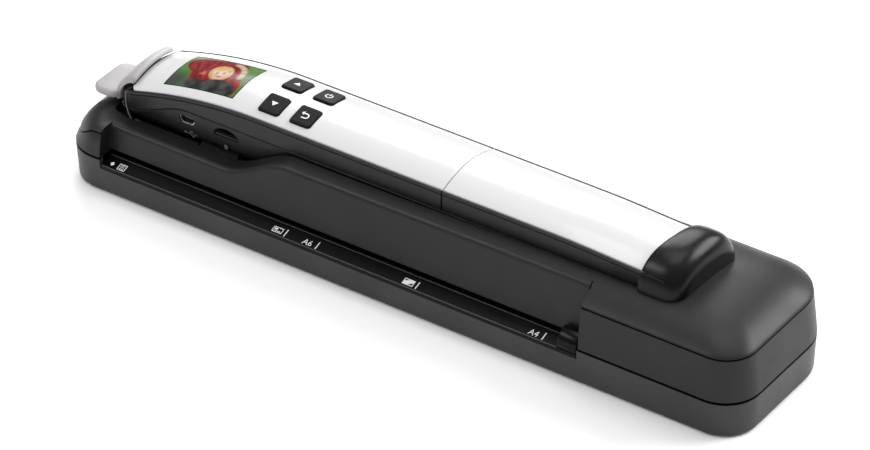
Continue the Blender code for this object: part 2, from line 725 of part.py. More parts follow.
def mesh_turn(centre_a, teeth_a, turn_a, centre_b, teeth_b):
    """Turn of gear b that puts a gap of b opposite a tooth of a on the line of centres."""
    line = math.atan2(centre_b[1] - centre_a[1], centre_b[0] - centre_a[0])
    phase_a = (line - turn_a) * teeth_a / (2 * math.pi)
    back = line + math.pi
    phase_b = 0.5 - phase_a
    return back - phase_b * 2 * math.pi / teeth_b


IDLER_DISTANCE = GEAR_MODULE * (ROLLER_TEETH + IDLER_TEETH) / 2
IDLER_CENTRE = ((FEED_SHAFT_Y + EXIT_SHAFT_Y) / 2,
                SHAFT_Z - math.sqrt(IDLER_DISTANCE ** 2 - ((EXIT_SHAFT_Y - FEED_SHAFT_Y) / 2) ** 2))
PINION_TURN = math.radians(-13.0)
PINION_DISTANCE = GEAR_MODULE * (IDLER_TEETH + PINION_TEETH) / 2
PINION_CENTRE = (IDLER_CENTRE[0] + PINION_DISTANCE * math.cos(PINION_TURN),
                 IDLER_CENTRE[1] + PINION_DISTANCE * math.sin(PINION_TURN))


def build_gear(name, centre, teeth, turn, bore_r):
    gear = plate(name, shifted(gear_outline(teeth, turn), *centre), 'YZ', GEAR_X,
                 GEAR_X + GEAR_WIDTH, NYLON)
    bore = cylinder(name + "_bore", (GEAR_X + GEAR_WIDTH / 2, *centre), 'X', bore_r, 10.0, None,
                    cutters, 16)
    cut(gear, bore)
    return bake(gear)


def build_drive():
    feed = (FEED_SHAFT_Y, SHAFT_Z)
    exit_ = (EXIT_SHAFT_Y, SHAFT_Z)
    idler_turn = 0.0
    build_gear("idler_gear", IDLER_CENTRE, IDLER_TEETH, idler_turn, 1.35)
    build_gear("feed_gear", feed, ROLLER_TEETH,
               mesh_turn(IDLER_CENTRE, IDLER_TEETH, idler_turn, feed, ROLLER_TEETH), SHAFT_R + 0.05)
    build_gear("exit_gear", exit_, ROLLER_TEETH,
               mesh_turn(IDLER_CENTRE, IDLER_TEETH, idler_turn, exit_, ROLLER_TEETH), SHAFT_R + 0.05)
    build_gear("motor_pinion", PINION_CENTRE, PINION_TEETH,
               mesh_turn(IDLER_CENTRE, IDLER_TEETH, idler_turn, PINION_CENTRE, PINION_TEETH), 0.8)
    for label, (y, z) in (("feed", feed), ("exit", exit_)):
        left_x, right_x = -133.0, GEAR_X + GEAR_WIDTH + 0.6
        cylinder(f"{label}_shaft", ((left_x + right_x) / 2, y, z), 'X', SHAFT_R, right_x - left_x,
                 STEEL, parts, 16)
        for side, x in zip(SIDES, ROLLER_X):
            roller = cylinder(f"{label}_roller_{side}", (x, y, z), 'X', ROLLER_R, ROLLER_LENGTH,
                              RUBBER, parts, 24)
            cut(roller, cylinder(f"{label}_{side}_bore", (x, y, z), 'X', SHAFT_R + 0.05, 30.0, None,
                                 cutters, 16))
            bake(roller)
        for side, x in zip(SIDES, BUSH_X):
            bush = cylinder(f"{label}_bush_{side}", (x, y, z), 'X', 2.4, 3.0, BRASS, parts, 20)
            cut(bush, cylinder(f"{label}_{side}_bush_bore", (x, y, z), 'X', SHAFT_R + 0.08, 9.0,
                               None, cutters, 20))
            bake(bush)
    for side, x in zip(SIDES, BUSH_X):
        outline = [(-16.0, FLOOR + 0.3), (15.0, FLOOR + 0.3), (12.0, 22.8), (-13.6, 22.8)]
        plate_part = plate(f"bearing_plate_{side}", outline, 'YZ', x - 1.0, x + 1.0, STEEL)
        for y in (FEED_SHAFT_Y, EXIT_SHAFT_Y):
            cut(plate_part, cylinder(f"bush_hole_{side}_{y}", (x, y, SHAFT_Z), 'X', 2.45, 8.0, None,
                                     cutters, 20))
        if side == "right":
            cut(plate_part, cylinder("idler_pin_hole", (x, *IDLER_CENTRE), 'X', 1.3, 8.0, None,
                                     cutters, 16))
        bake(plate_part)
    cylinder("idler_pin", (GEAR_X - 0.8, *IDLER_CENTRE), 'X', 1.25, 10.4, STEEL, parts, 16)
    y, z = PINION_CENTRE
    shaft = cylinder("motor_shaft", (GEAR_X + 4.0, y, z), 'X', 1.0, 7.6, None, cutters, 16)
    bake(join(bpy.data.objects["motor_pinion"], shaft))
    motor = cylinder("feed_motor", (113.4, y, z), 'X', 7.6, 26.0, STEEL, parts, 28)
    cut(motor, cylinder("motor_bore", (100.0, y, z), 'X', 1.15, 6.0, None, cutters, 16))
    bevel(motor, 0.8, 2)
    box("dock_board", (116.0, -27.0, 4.4), (146.0, -4.0, 6.0), BOARD)
    jack = box("power_jack", (125.5, 21.2, 4.4), (134.5, 31.6, 13.6), GLOSS_BLACK)
    cut(jack, cylinder("jack_bore", (130.0, 31.6, 9.0), 'Y', 2.6, 14.0, None, cutters, 16))
    bake(jack)


# ---------------------------------------------------------------- latch

def build_latch():
    px, py, pz = LATCH_PIVOT
    nose_z = NOSE_FOOT_Z
    sections = []
    shares = (-1.0, -0.93, -0.6, -0.3, 0.0, 0.3, 0.6, 0.93, 1.0)
    middle_y, half_span = (HOOK_FAR_Y + HOOK_NEAR_Y) / 2, (HOOK_FAR_Y - HOOK_NEAR_Y) / 2
    run = NOSE_START_X - WAND_LEFT_X
    for share in shares:
        offset = middle_y + share * half_span
        at_end = abs(share) == 1.0
        drop = offset ** 2 / (2.0 * CROWN_R) + (0.7 if at_end else 0.0)
        crest = wand_top(NOSE_START_X, 0.0) - drop
        inner, outer = [], []
        for k in range(7):
            turn = math.radians(4.0 + HOOK_REACH * k / 6)
            for path, gap in ((inner, HOOK_GAP), (outer, HOOK_GAP + HOOK_THICK)):
                trim = 0.6 if path is outer and at_end else 0.0
                path.append((NOSE_START_X - (run + gap - trim) * math.cos(turn),
                             WAND_Y + offset, nose_z + (crest - nose_z + gap - trim) * math.sin(turn)))
        sections.append(inner + list(reversed(outer)))
    latch = loft("latch_lever", sections, GREY)
    tab = plate("latch_tab", rounded_rectangle(6.2, 10.6, 4.2, 5, (-148.4, WAND_Y - 7.25)), 'XY', 33.0, 36.4,
                None, cutters)
    bevel(tab, 1.1, 2)
    bake(tab)
    neck = box("latch_neck", (-146.2, WAND_Y - 12.6, 33.2), (-141.9, WAND_Y + 8.6, 36.0), None,
               cutters, 0.8, 1)
    bake(neck)
    stem = box("latch_stem", (px - 1.4, py - 5.6, 7.0), (px + 1.4, py + 5.6, 34.4), None, cutters)
    barrel = cylinder("latch_barrel", (px, py, pz), 'Y', 2.9, 11.2, None, cutters, 20)
    join(latch, tab, neck, stem, barrel)
    cut(latch, cylinder("latch_pin_bore", (px, py, pz), 'Y', LATCH_PIN_R + 0.08, 30.0, None, cutters, 16))
    bake(latch)
    shade_round(latch, 38.0)
    cylinder("latch_pin", LATCH_PIVOT, 'Y', LATCH_PIN_R, 21.0, STEEL, parts, 16)
    coil_r = 2.0
    turns = 3.5
    steps = 10
    points = []
    for k in range(int(turns * steps) + 1):
        turn = 2 * math.pi * k / steps
        points.append((px + coil_r * math.cos(turn), py + 6.0 + 0.43 * k / steps,
                       pz + coil_r * math.sin(turn)))
    points.insert(0, (px + coil_r, py + 6.0, pz - 5.4))
    wire("latch_spring", points, 0.2, STEEL)


# ---------------------------------------------------------------- wand

def build_wand_shells():
    lower = loft("wand_base", [lower_section(x) for x in wand_stations(WAND_LEFT_X, WAND_RIGHT_X)], BLACK)
    inside = [(-13.6, 28.8), (13.6, 28.8), (16.2, 32.2), (16.2, 60.0), (-16.2, 60.0), (-16.2, 32.2)]
    hollow = plate("wand_hollow", shifted(inside, WAND_Y, 0.0), 'YZ', -134.6, 112.4, None, cutters)
    glass_slot = box("glass_slot", (-136.6, WAND_Y - 5.2, 20.0), (78.4, WAND_Y + 5.2, 30.0), None, cutters)
    wheel_windows = [box(f"wheel_window_{side}", (x - 2.5, 4.1, 20.0), (x + 2.5, 11.9, 30.0), None, cutters)
                     for side, x in zip(SIDES, WHEEL_X)]
    usb_hole = box("usb_hole", (-111.2, -30.0, 34.8), (-102.8, -10.0, 38.9), None, cutters)
    card_slot = box("card_slot", (-93.7, -30.0, 35.2), (-81.9, -10.0, 36.9), None, cutters)
    finger_dip = cylinder("card_finger_dip", (-87.8, WAND_Y - WAND_HALF_WIDTH - 0.4, 36.0), 'Y', 3.4,
                          3.0, None, cutters, 16)
    cut(lower, hollow, glass_slot, *wheel_windows, usb_hole, card_slot, finger_dip)
    bake(lower)

    frame_end_x, door_start_x = SPLIT_X - SPLIT_GAP / 2, SPLIT_X + SPLIT_GAP / 2
    frame = loft("wand_frame", [upper_section(x) for x in wand_stations(WAND_LEFT_X, frame_end_x)],
                 BLACK)
    frame_hollow = loft("frame_hollow", [[(x, WAND_Y - 16.2, 20.0), (x, WAND_Y + 16.2, 20.0),
                                          (x, WAND_Y + 16.2, wand_rim(x) - 2.4),
                                          (x, WAND_Y - 16.2, wand_rim(x) - 2.4)]
                                         for x in wand_stations(-133.0, SPLIT_X - 2.0)], None, cutters)
    recess = panel("panel_recess", PANEL_START_X - 0.2, SPLIT_X + 3.0, PANEL_HALF_WIDTH + 0.15, 6.0, 7.8,
                   None, cutters)
    cut(frame, frame_hollow, recess, *key_holes("frame", 6.0), screen_block("frame_window", -1.0))
    bake(frame)

    cover = panel("wand_cover", PANEL_START_X, frame_end_x, PANEL_HALF_WIDTH, 0.0, PANEL_THICK, WHITE)
    cover_length = SPLIT_X + 10.0 - PANEL_START_X
    cover_plan = rounded_rectangle(cover_length / 2, PANEL_HALF_WIDTH, 3.2, 4,
                                   (PANEL_START_X + cover_length / 2, WAND_Y))
    boolean(cover, plate("cover_plan", cover_plan, 'XY', 20.0, 70.0, None, cutters), 'INTERSECT')
    cut(cover, *key_holes("cover", 6.0), screen_block("cover_window", 0.25))
    bake(cover)

    door = loft("battery_door", [upper_section(x) for x in wand_stations(door_start_x, WAND_RIGHT_X)],
                BLACK)
    door_hollow = loft("door_hollow", [[(x, WAND_Y - 16.2, 20.0), (x, WAND_Y + 16.2, 20.0),
                                        (x, WAND_Y + 16.2, wand_rim(x) - 2.4),
                                        (x, WAND_Y - 16.2, wand_rim(x) - 2.4)]
                                       for x in wand_stations(SPLIT_X + 2.0, WAND_RIGHT_X - 2.0)],
                       None, cutters)
    door_recess = panel("door_recess", SPLIT_X - 3.0, WAND_RIGHT_X - 1.0, PANEL_HALF_WIDTH + 0.15, 6.0, 7.8,
                        None, cutters)
    cut(door, door_hollow, door_recess)
    bake(door)
    panel("battery_door_panel", door_start_x, WAND_RIGHT_X - 1.2, PANEL_HALF_WIDTH, 0.0,
          PANEL_THICK, WHITE)
    for name in ("wand_base", "wand_frame", "wand_cover", "battery_door", "battery_door_panel"):
        shade_round(bpy.data.objects[name], 38.0)


KEY_ROWS = (("near", -KEY_ROW_Y), ("far", KEY_ROW_Y))


def key_place(x, row_y):
    """Centre of a key's top and the tilt that lays it along the crown."""
    offset = row_y + CONTROLS_SHIFT_Y
    tilt = -math.asin(offset / CROWN_R)
    return (x, WAND_Y + offset, wand_top(x, offset)), tilt


def key_solid(name, x, row_y, grow, low, high, material, collection):
    (cx, cy, cz), tilt = key_place(x, row_y)
    outline = rounded_rectangle(KEY_SIZE[0] / 2 + grow, KEY_SIZE[1] / 2 + grow, 1.2, 3)
    solid = plate(name, outline, 'XY', low, high, material, collection)
    solid.matrix_world = (Matrix.Translation(v(cx, cy, cz)) @ Matrix.Rotation(tilt, 4, 'X')
                          @ solid.matrix_world)
    bpy.context.view_layer.update()
    return solid


def key_holes(label, height):
    return [key_solid(f"{label}_key_hole_{row}_{k}", x, row_y, 0.3, -12.0, height, None, cutters)
            for row, row_y in KEY_ROWS for k, x in enumerate(KEY_X)]


def screen_block(name, grow):
    low_x, high_x = SCREEN_X
    centre_y = WAND_Y + CONTROLS_SHIFT_Y
    return box(name, (low_x - grow, centre_y - SCREEN_HALF_DEPTH - grow, 30.0),
               (high_x + grow, centre_y + SCREEN_HALF_DEPTH + grow, 60.0), None, cutters)


KEY_NAMES = {("near", 0): "key_down", ("near", 1): "key_back", ("far", 0): "key_up", ("far", 1): "key_power"}


def build_keys():
    for row, row_y in KEY_ROWS:
        for k, x in enumerate(KEY_X):
            cap = key_solid(KEY_NAMES[row, k], x, row_y, 0.0, -3.6, 0.75, KEY, parts)
            bevel(cap, 0.55, 2, 50.0)
            bake(cap)
            shade_round(cap, 40.0)


def build_wand_insides():
    low_x, high_x = SCREEN_X
    centre_y = WAND_Y + CONTROLS_SHIFT_Y
    window = panel("screen_window", low_x, high_x, PANEL_HALF_WIDTH, -0.15, 1.3, SCREEN)
    keep = box("screen_trim", (low_x - 1.0, centre_y - SCREEN_HALF_DEPTH, 30.0),
               (high_x + 1.0, centre_y + SCREEN_HALF_DEPTH, 60.0), None, cutters)
    boolean(window, keep, 'INTERSECT')
    bake(window)
    display = box("display_module", (-14.2, -9.8, -0.9), (14.2, 9.8, 0.9), GLOSS_BLACK)
    slope = math.atan2(wand_top(high_x, 8.0) - wand_top(low_x, 8.0), high_x - low_x)
    display.rotation_euler = (0.0, -slope, 0.0)
    display.location = v((low_x + high_x) / 2, centre_y, wand_top((low_x + high_x) / 2, 9.6) - 3.6)
    box("main_board", (-126.0, WAND_Y - 14.8, 39.0), (10.0, WAND_Y + 14.8, 40.0), BOARD)
    box("key_board", (-78.0, WAND_Y - 14.6, 45.6), (-47.0, WAND_Y + 14.6, 46.4), BOARD)
    usb = box("usb_port", (-110.8, WAND_Y - 17.2, 35.2), (-103.2, WAND_Y - 9.0, 38.5), STEEL)
    cut(usb, box("usb_mouth", (-110.2, WAND_Y - 18.0, 35.8), (-103.8, WAND_Y - 10.4, 37.9), None, cutters))
    bake(usb)
    holder = box("card_socket", (-94.6, WAND_Y - 15.6, 35.1), (-81.0, WAND_Y - 0.4, 38.5), STEEL)
    cut(holder, box("card_room", (-93.5, WAND_Y - 18.0, 35.4), (-82.1, WAND_Y - 1.6, 36.9), None, cutters))
    bake(holder)
    box("memory_card", (-93.3, WAND_Y - 17.5, 35.65), (-82.3, WAND_Y - 2.5, 36.65), GLOSS_BLACK, parts,
        0.2, 1)
    box("image_sensor", (-132.0, WAND_Y - 4.6, 29.0), (76.0, WAND_Y + 4.6, 34.6), GLOSS_BLACK, parts, 0.4, 1)
    box("scan_glass", (-136.3, WAND_Y - 4.9, 27.4), (78.1, WAND_Y + 4.9, 28.6), GLASS)
    box("battery_pack", (20.0, WAND_Y - 14.4, 36.0), (100.0, WAND_Y + 14.4, 45.0), CELL, parts, 1.6, 2)
    axle_y, axle_z = 8.0, 30.4
    cylinder("wand_axle", (-30.0, axle_y, axle_z), 'X', 0.9, 172.0, STEEL, parts, 12)
    for side, x in zip(SIDES, WHEEL_X):
        wheel = cylinder(f"wand_wheel_{side}", (x, axle_y, axle_z), 'X', 3.5, 4.0, RUBBER, parts, 20)
        cut(wheel, cylinder(f"wheel_bore_{side}", (x, axle_y, axle_z), 'X', 0.95, 9.0, None, cutters, 12))
        bake(wheel)


build_dock()
build_drive()
build_latch()
build_wand_shells()
build_keys()
build_wand_insides()
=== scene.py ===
"""Looks for the docked wand scanner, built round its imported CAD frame. Lengths are in millimetres until a
mesh is made. X runs along the dock towards the hood, -Y faces the person feeding paper, Z is up."""

import json
import math

import bmesh
import bpy
import numpy as np
from mathutils import Matrix, Vector


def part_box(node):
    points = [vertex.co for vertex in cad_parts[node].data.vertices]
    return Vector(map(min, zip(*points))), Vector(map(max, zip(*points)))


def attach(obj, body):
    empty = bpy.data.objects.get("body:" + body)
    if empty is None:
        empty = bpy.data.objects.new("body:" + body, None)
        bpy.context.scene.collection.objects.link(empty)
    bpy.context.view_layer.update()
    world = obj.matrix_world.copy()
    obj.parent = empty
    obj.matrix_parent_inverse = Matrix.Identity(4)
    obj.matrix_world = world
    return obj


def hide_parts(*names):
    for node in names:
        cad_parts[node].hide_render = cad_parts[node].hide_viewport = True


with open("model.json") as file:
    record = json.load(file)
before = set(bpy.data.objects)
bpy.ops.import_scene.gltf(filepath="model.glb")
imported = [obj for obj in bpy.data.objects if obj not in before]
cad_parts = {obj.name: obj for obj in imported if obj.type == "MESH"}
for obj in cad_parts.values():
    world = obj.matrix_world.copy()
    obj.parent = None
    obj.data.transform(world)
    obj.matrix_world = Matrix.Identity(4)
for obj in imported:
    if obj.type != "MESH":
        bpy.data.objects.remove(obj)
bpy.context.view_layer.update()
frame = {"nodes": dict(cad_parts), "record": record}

MM = 0.001


def span(node):
    """Lowest and highest corner of a CAD node, in millimetres."""
    low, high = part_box(node)
    return low / MM, high / MM


def centre_of(node):
    low, high = span(node)
    return (low + high) / 2


# ---------------------------------------------------------------- dimensions

shell_low, shell_high = span("base_shell")
strip_low, strip_high = span("feed_strip")
guide_low, guide_high = span("edge_guide")
casing_low, casing_high = span("wand_base")
cover_low, cover_high = span("wand_cover")
door_low = span("battery_door")[0]
window_low, window_high = span("screen_window")
hood_low, hood_high = span("hood")

DOCK_LENGTH = shell_high.x - shell_low.x
DOCK_DEPTH = shell_high.y - shell_low.y
SEAM_LOW = shell_high.z
SEAM_HIGH = SEAM_LOW + 0.4
FRONT_CORNER_R = 15.3
REAR_CORNER_R = 22.5
BASE_BOTTOM = shell_low.z
BASE_INSET = 0.8
BASE_FILLET = 1.0
TOP_INSET = 1.8
WALL = 2.0
FLOOR = 2.2
EDGE = 0.3

RIM_RIGHT_Z = 35.0
RIM_LEFT_FRONT_Z = 28.0
RIM_LEFT_REAR_Z = 24.0
RIM_END_Z = 21.5
BLOCK_Z = 31.8
SHELF_Z = 41.8
SHELF_RIGHT_Z = 43.4
DIP_Z = 28.3
DIP_END_X = -84.0
SHELF_START_X = -53.0
SHOULDER_RUN = 9.0
BLOCK_SHOULDER_RUN = 4.0

NOTCH_LEFT = strip_low.x - 0.4
NOTCH_RIGHT = strip_high.x + 0.4
WALL_FOOT = (strip_high.y, 18.0)
WALL_TOP = (-26.1, 41.0)
RIDGE_ROUND = 2.2
OUTSIDE_Y = -50.0
OVERHEAD_Z = 60.0

WAND_Y = (casing_low.y + casing_high.y) / 2
WAND_LEFT = casing_low.x
WAND_RIGHT = casing_high.x
WAND_BOTTOM = casing_low.z
WAND_HALF = (casing_high.y - casing_low.y) / 2
WAND_INSIDE_HALF = 16.2
PANEL_HALF = (cover_high.y - cover_low.y) / 2
RIM_Z = 50.2
CROWN_R = 40.0
NOSE_START = -133.6
NOSE_FOOT_Z = 31.5
SPLIT_LEFT = cover_high.x
SPLIT_RIGHT = door_low.x
BELT_Z = 41.3
PANEL_THICK = 1.6

KEY_HALF = (4.8, 4.9)
KEY_NAMES = ("key_down", "key_back", "key_up", "key_power")
PIVOT = Vector((centre_of("latch_pin").x, WAND_Y, centre_of("latch_pin").z))


# ---------------------------------------------------------------- small helpers

def eased(value, start, end):
    """0 up to the start, 1 from the end on, and a smooth run between them; the end may be the lower one."""
    t = min(max((value - start) / (end - start), 0.0), 1.0)
    return t * t * (3.0 - 2.0 * t)


def mix(a, b, t):
    return a + (b - a) * t


def between(start, end, step):
    """Evenly spaced values from start to end, no further apart than step."""
    count = max(1, math.ceil(abs(end - start) / step))
    return [mix(start, end, k / count) for k in range(count + 1)]


def add_object(name, bm):
    """Turns a bmesh in millimetres into an object in metres."""
    bmesh.ops.scale(bm, vec=(MM, MM, MM), verts=bm.verts)
    bmesh.ops.recalc_face_normals(bm, faces=bm.faces)
    mesh = bpy.data.meshes.new(name)
    bm.to_mesh(mesh)
    bm.free()
    obj = bpy.data.objects.new(name, mesh)
    bpy.context.scene.collection.objects.link(obj)
    return obj


def stitch(bm, rings):
    """Quads between neighbouring rings of vertices."""
    for near, far in zip(rings, rings[1:]):
        for i in range(len(near)):
            j = (i + 1) % len(near)
            bm.faces.new((near[i], near[j], far[j], far[i]))


def loft(name, sections):
    """Closed skin through loops that all have the same number of points."""
    bm = bmesh.new()
    rings = [[bm.verts.new(p) for p in loop] for loop in sections]
    stitch(bm, rings)
    bm.faces.new(list(reversed(rings[0])))
    bm.faces.new(rings[-1])
    return add_object(name, bm)


CORNERS = ((0, 1, 1), (90, -1, 1), (180, -1, -1), (270, 1, -1))
PLANES = {'XY': lambda a, b, d: (a, b, d), 'YZ': lambda a, b, d: (d, a, b), 'XZ': lambda a, b, d: (a, d, b)}


def plate(name, outline, plane, start, end):
    """Flat outline given thickness along the plane's normal."""
    place = PLANES[plane]
    return loft(name, [[place(a, b, d) for a, b in outline] for d in (start, end)])


def box(name, low, high):
    outline = [(low[0], low[1]), (high[0], low[1]), (high[0], high[1]), (low[0], high[1])]
    return plate(name, outline, 'XY', low[2], high[2])


def arc(centre, radius, start, end, steps):
    """Points along a circle from one angle to another, in degrees."""
    turns = [math.radians(mix(start, end, k / steps)) for k in range(steps + 1)]
    return [(centre[0] + radius * math.cos(t), centre[1] + radius * math.sin(t)) for t in turns]


def ring_outline(centre, radius, steps=32):
    return arc(centre, radius, 0.0, 360.0, steps)[:-1]


def rod(name, centre, radius, start, end, steps, plane='XY'):
    return plate(name, ring_outline(centre, radius, steps), plane, start, end)


def rounded_outline(half_a, half_b, radius, steps=6, centre=(0.0, 0.0)):
    points = []
    for first, side_a, side_b in CORNERS:
        corner = (centre[0] + side_a * (half_a - radius), centre[1] + side_b * (half_b - radius))
        points += arc(corner, radius, first, first + 90.0, steps)
    return points


def bake(obj):
    """Applies the object's modifiers."""
    bpy.context.view_layer.update()
    depsgraph = bpy.context.evaluated_depsgraph_get()
    mesh = bpy.data.meshes.new_from_object(obj.evaluated_get(depsgraph))
    obj.modifiers.clear()
    obj.data = mesh
    return obj


def boolean(obj, others, operation='DIFFERENCE'):
    for other in others:
        step = obj.modifiers.new(operation.lower(), 'BOOLEAN')
        step.operation = operation
        step.object = other
        step.solver = 'EXACT'
    bake(obj)
    for other in others:
        bpy.data.objects.remove(other, do_unlink=True)
    return obj


def films(name, outlines, plane, start, end):
    """Thin plates that make up a printed mark."""
    return [plate(f"{name}_{k}", outline, plane, start, end) for k, outline in enumerate(outlines)]


def joined(name, pieces):
    """Pieces fused into one named object."""
    whole = pieces[0]
    if len(pieces) > 1:
        boolean(whole, pieces[1:], 'UNION')
    whole.name = name
    return whole


def bevel(obj, width, segments=3, angle=35.0):
    step = obj.modifiers.new("bevel", 'BEVEL')
    step.width = width * MM
    step.segments = segments
    step.limit_method = 'ANGLE'
    step.angle_limit = math.radians(angle)
    step.use_clamp_overlap = True
    return bake(obj)


def shade_smooth(mesh, angle=32.0):
    """Shades round faces smooth and keeps creases sharper than this angle."""
    for face in mesh.polygons:
        face.use_smooth = True
    mesh.set_sharp_from_angle(angle=math.radians(angle))


def scraps(bm):
    """Faces of flat flaps left by cuts: fewer faces hanging together than any closed solid has."""
    seen, found = set(), []
    for start in bm.faces:
        if start in seen:
            continue
        seen.add(start)
        island = [start]
        for face in island:
            for edge in face.edges:
                if len(edge.link_faces) == 2:
                    fresh = [other for other in edge.link_faces if other not in seen]
                    seen.update(fresh)
                    island.extend(fresh)
        if len(island) < 4:
            found.extend(island)
    return found


def tidy(obj, angle=32.0):
    """Welds slivers, drops flaps and closes pinholes left by cuts, then shades round faces smooth."""
    bm = bmesh.new()
    bm.from_mesh(obj.data)
    bmesh.ops.remove_doubles(bm, verts=bm.verts, dist=0.000004)
    bmesh.ops.dissolve_degenerate(bm, dist=0.000002, edges=bm.edges)
    wide = [face for face in bm.faces
            if len(face.verts) > 4 or any(len(v.link_edges) == 2 for v in face.verts)]
    bmesh.ops.triangulate(bm, faces=wide)
    bmesh.ops.delete(bm, geom=scraps(bm), context='FACES')
    bmesh.ops.holes_fill(bm, edges=[edge for edge in bm.edges if edge.is_boundary], sides=4)
    bm.to_mesh(obj.data)
    bm.free()
    shade_smooth(obj.data, angle)


def show(obj, material, body, node=None, angle=32.0):
    """Finishes a piece: shading, material, the body it rides on and the CAD node it stands for."""
    tidy(obj, angle)
    obj.data.materials.clear()
    obj.data.materials.append(material)
    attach(obj, body)
    if node:
        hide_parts(node)
    return obj


# ---------------------------------------------------------------- materials

class Nodes:
    """A material's node tree with short calls for the nodes used here."""

    def __init__(self, name):
        self.material = bpy.data.materials.new(name)
        self.material.use_nodes = True
        self.tree = self.material.node_tree
        self.shader = self.tree.nodes["Principled BSDF"]
        self.coords = self.add("TexCoord").outputs["Object"]

    def feed(self, socket, value):
        """Links a socket to another node's output, or gives it a plain value."""
        if isinstance(value, bpy.types.NodeSocket):
            self.tree.links.new(value, socket)
        else:
            socket.default_value = value

    def add(self, kind, inputs=None, **settings):
        node = self.tree.nodes.new("ShaderNode" + kind)
        for key, value in settings.items():
            setattr(node, key, value)
        for socket, value in (inputs or {}).items():
            self.feed(node.inputs[socket], value)
        return node

    def surface(self, inputs):
        """Feeds the surface shader and hands over the finished material."""
        for socket, value in inputs.items():
            self.feed(self.shader.inputs[socket], (*value, 1.0) if isinstance(value, tuple) else value)
        return self.material

    def stretched(self, scale):
        return self.add("Mapping", {"Scale": scale, "Vector": self.coords}).outputs["Vector"]

    def noise(self, size_mm, detail=3.0, vector=None):
        return self.add("TexNoise", {"Scale": 1.0 / (size_mm * MM), "Detail": detail,
                                     "Vector": vector or self.coords}).outputs["Fac"]

    def voronoi(self, size_mm, feature='F1'):
        return self.add("TexVoronoi", {"Scale": 1.0 / (size_mm * MM), "Vector": self.coords},
                        feature=feature).outputs["Distance"]

    def ramp(self, source, low, high, from_low=0.3, from_high=0.7):
        return self.add("MapRange", {"Value": source, "From Min": from_low, "From Max": from_high,
                                     "To Min": low, "To Max": high}).outputs["Result"]

    def blend(self, factor, first, second, kind='MIX'):
        node = self.add("Mix", data_type='RGBA', blend_type=kind)
        for socket, value in ((0, factor), (6, first), (7, second)):
            self.feed(node.inputs[socket], (*value, 1.0) if isinstance(value, tuple) else value)
        return node.outputs[2]

    def tone(self, pattern, dark, light):
        """Colour that drifts between two tones with a pattern."""
        return self.blend(self.ramp(pattern, 0.0, 1.0), dark, light)

    def math(self, operation, first, second):
        return self.add("Math", {0: first, 1: second}, operation=operation).outputs[0]

    def rounded(self, radius_mm):
        return self.add("Bevel", {"Radius": radius_mm * MM}, samples=4).outputs["Normal"]

    def edges(self, radius_mm, gain):
        """1 along outer edges, 0 on flat faces."""
        dot = self.add("VectorMath", operation='DOT_PRODUCT')
        self.feed(dot.inputs[0], self.rounded(radius_mm))
        self.feed(dot.inputs[1], self.add("NewGeometry").outputs["Normal"])
        turned = self.math('SUBTRACT', 1.0, dot.outputs["Value"])
        return self.add("Clamp", {"Value": self.math('MULTIPLY', turned, gain)}).outputs[0]

    def bump(self, height, depth_mm, strength=1.0, rounding_mm=0.0):
        node = self.add("Bump", {"Distance": depth_mm * MM, "Strength": strength, "Height": height})
        if rounding_mm > 0.0:
            self.feed(node.inputs["Normal"], self.rounded(rounding_mm))
        return node.outputs["Normal"]


def shade(colour, gain, lift=0.0):
    return tuple(min(c * gain + lift, 1.0) for c in colour)


def moulded(name, colour, roughness, grain_mm=0.35, depth_mm=0.012, edge_colour=None, rounding_mm=0.25,
            coat=0.0, specular=0.5):
    """Moulded plastic: fine spark-eroded grain, slight tone drift, paler rubbed edges."""
    n = Nodes(name)
    base = n.tone(n.noise(38.0, 2.0), shade(colour, 0.82), shade(colour, 1.28, 0.001))
    worn = n.math('MULTIPLY', n.edges(0.5, 2.2), n.ramp(n.noise(2.2, 4.0), 0.25, 0.85))
    fine = n.noise(grain_mm, 4.0)
    rough = n.ramp(n.noise(9.0, 4.0), roughness * 0.92, roughness * 1.09)
    return n.surface({"Base Color": n.blend(worn, base, edge_colour or shade(colour, 2.1, 0.012)),
                      "Roughness": n.math('ADD', rough, n.ramp(fine, -0.015, 0.015)),
                      "Coat Weight": coat, "Coat Roughness": 0.06, "Specular IOR Level": specular,
                      "Normal": n.bump(fine, depth_mm, 0.6, rounding_mm)})


def polished(name, colour, roughness, wave_mm=7.0, wave_depth_mm=0.004, coat=0.6, specular=0.5):
    """Polished moulding: a faint long wave, hairline scratches and dust-fine roughness changes."""
    n = Nodes(name)
    hair = n.noise(0.8, 2.0, n.stretched((0.04, 1.0, 1.0)))
    rough = n.ramp(hair, roughness * 0.75, roughness * 1.35)
    return n.surface({"Base Color": n.tone(n.noise(60.0, 1.0), shade(colour, 0.985), colour),
                      "Roughness": n.math('ADD', rough, n.ramp(n.noise(24.0, 3.0), 0.0, 0.03)),
                      "Coat Weight": coat, "Coat Roughness": 0.05, "Specular IOR Level": specular,
                      "Normal": n.bump(n.noise(wave_mm, 1.0), wave_depth_mm, 0.5, 0.2)})


def metal(name, colour, roughness, along=(1.0, 14.0, 14.0), size_mm=5.0):
    """Ground metal: fine lines along the part, blotchy dulling."""
    n = Nodes(name)
    lines = n.noise(size_mm, 5.0, n.stretched(along))
    return n.surface({"Base Color": n.tone(n.noise(6.0, 3.0), shade(colour, 0.8), colour), "Metallic": 1.0,
                      "Roughness": n.ramp(lines, roughness * 0.7, roughness * 1.4),
                      "Normal": n.bump(lines, 0.006, 0.5)})


def rubber(name):
    n = Nodes(name)
    spots = n.voronoi(0.9)
    base = n.tone(n.noise(3.0, 4.0), (0.0065, 0.0065, 0.0065), (0.017, 0.0168, 0.0163))
    return n.surface({"Base Color": base, "Roughness": n.ramp(spots, 0.72, 0.92, 0.0, 0.6),
                      "Normal": n.bump(spots, 0.03, 0.6)})


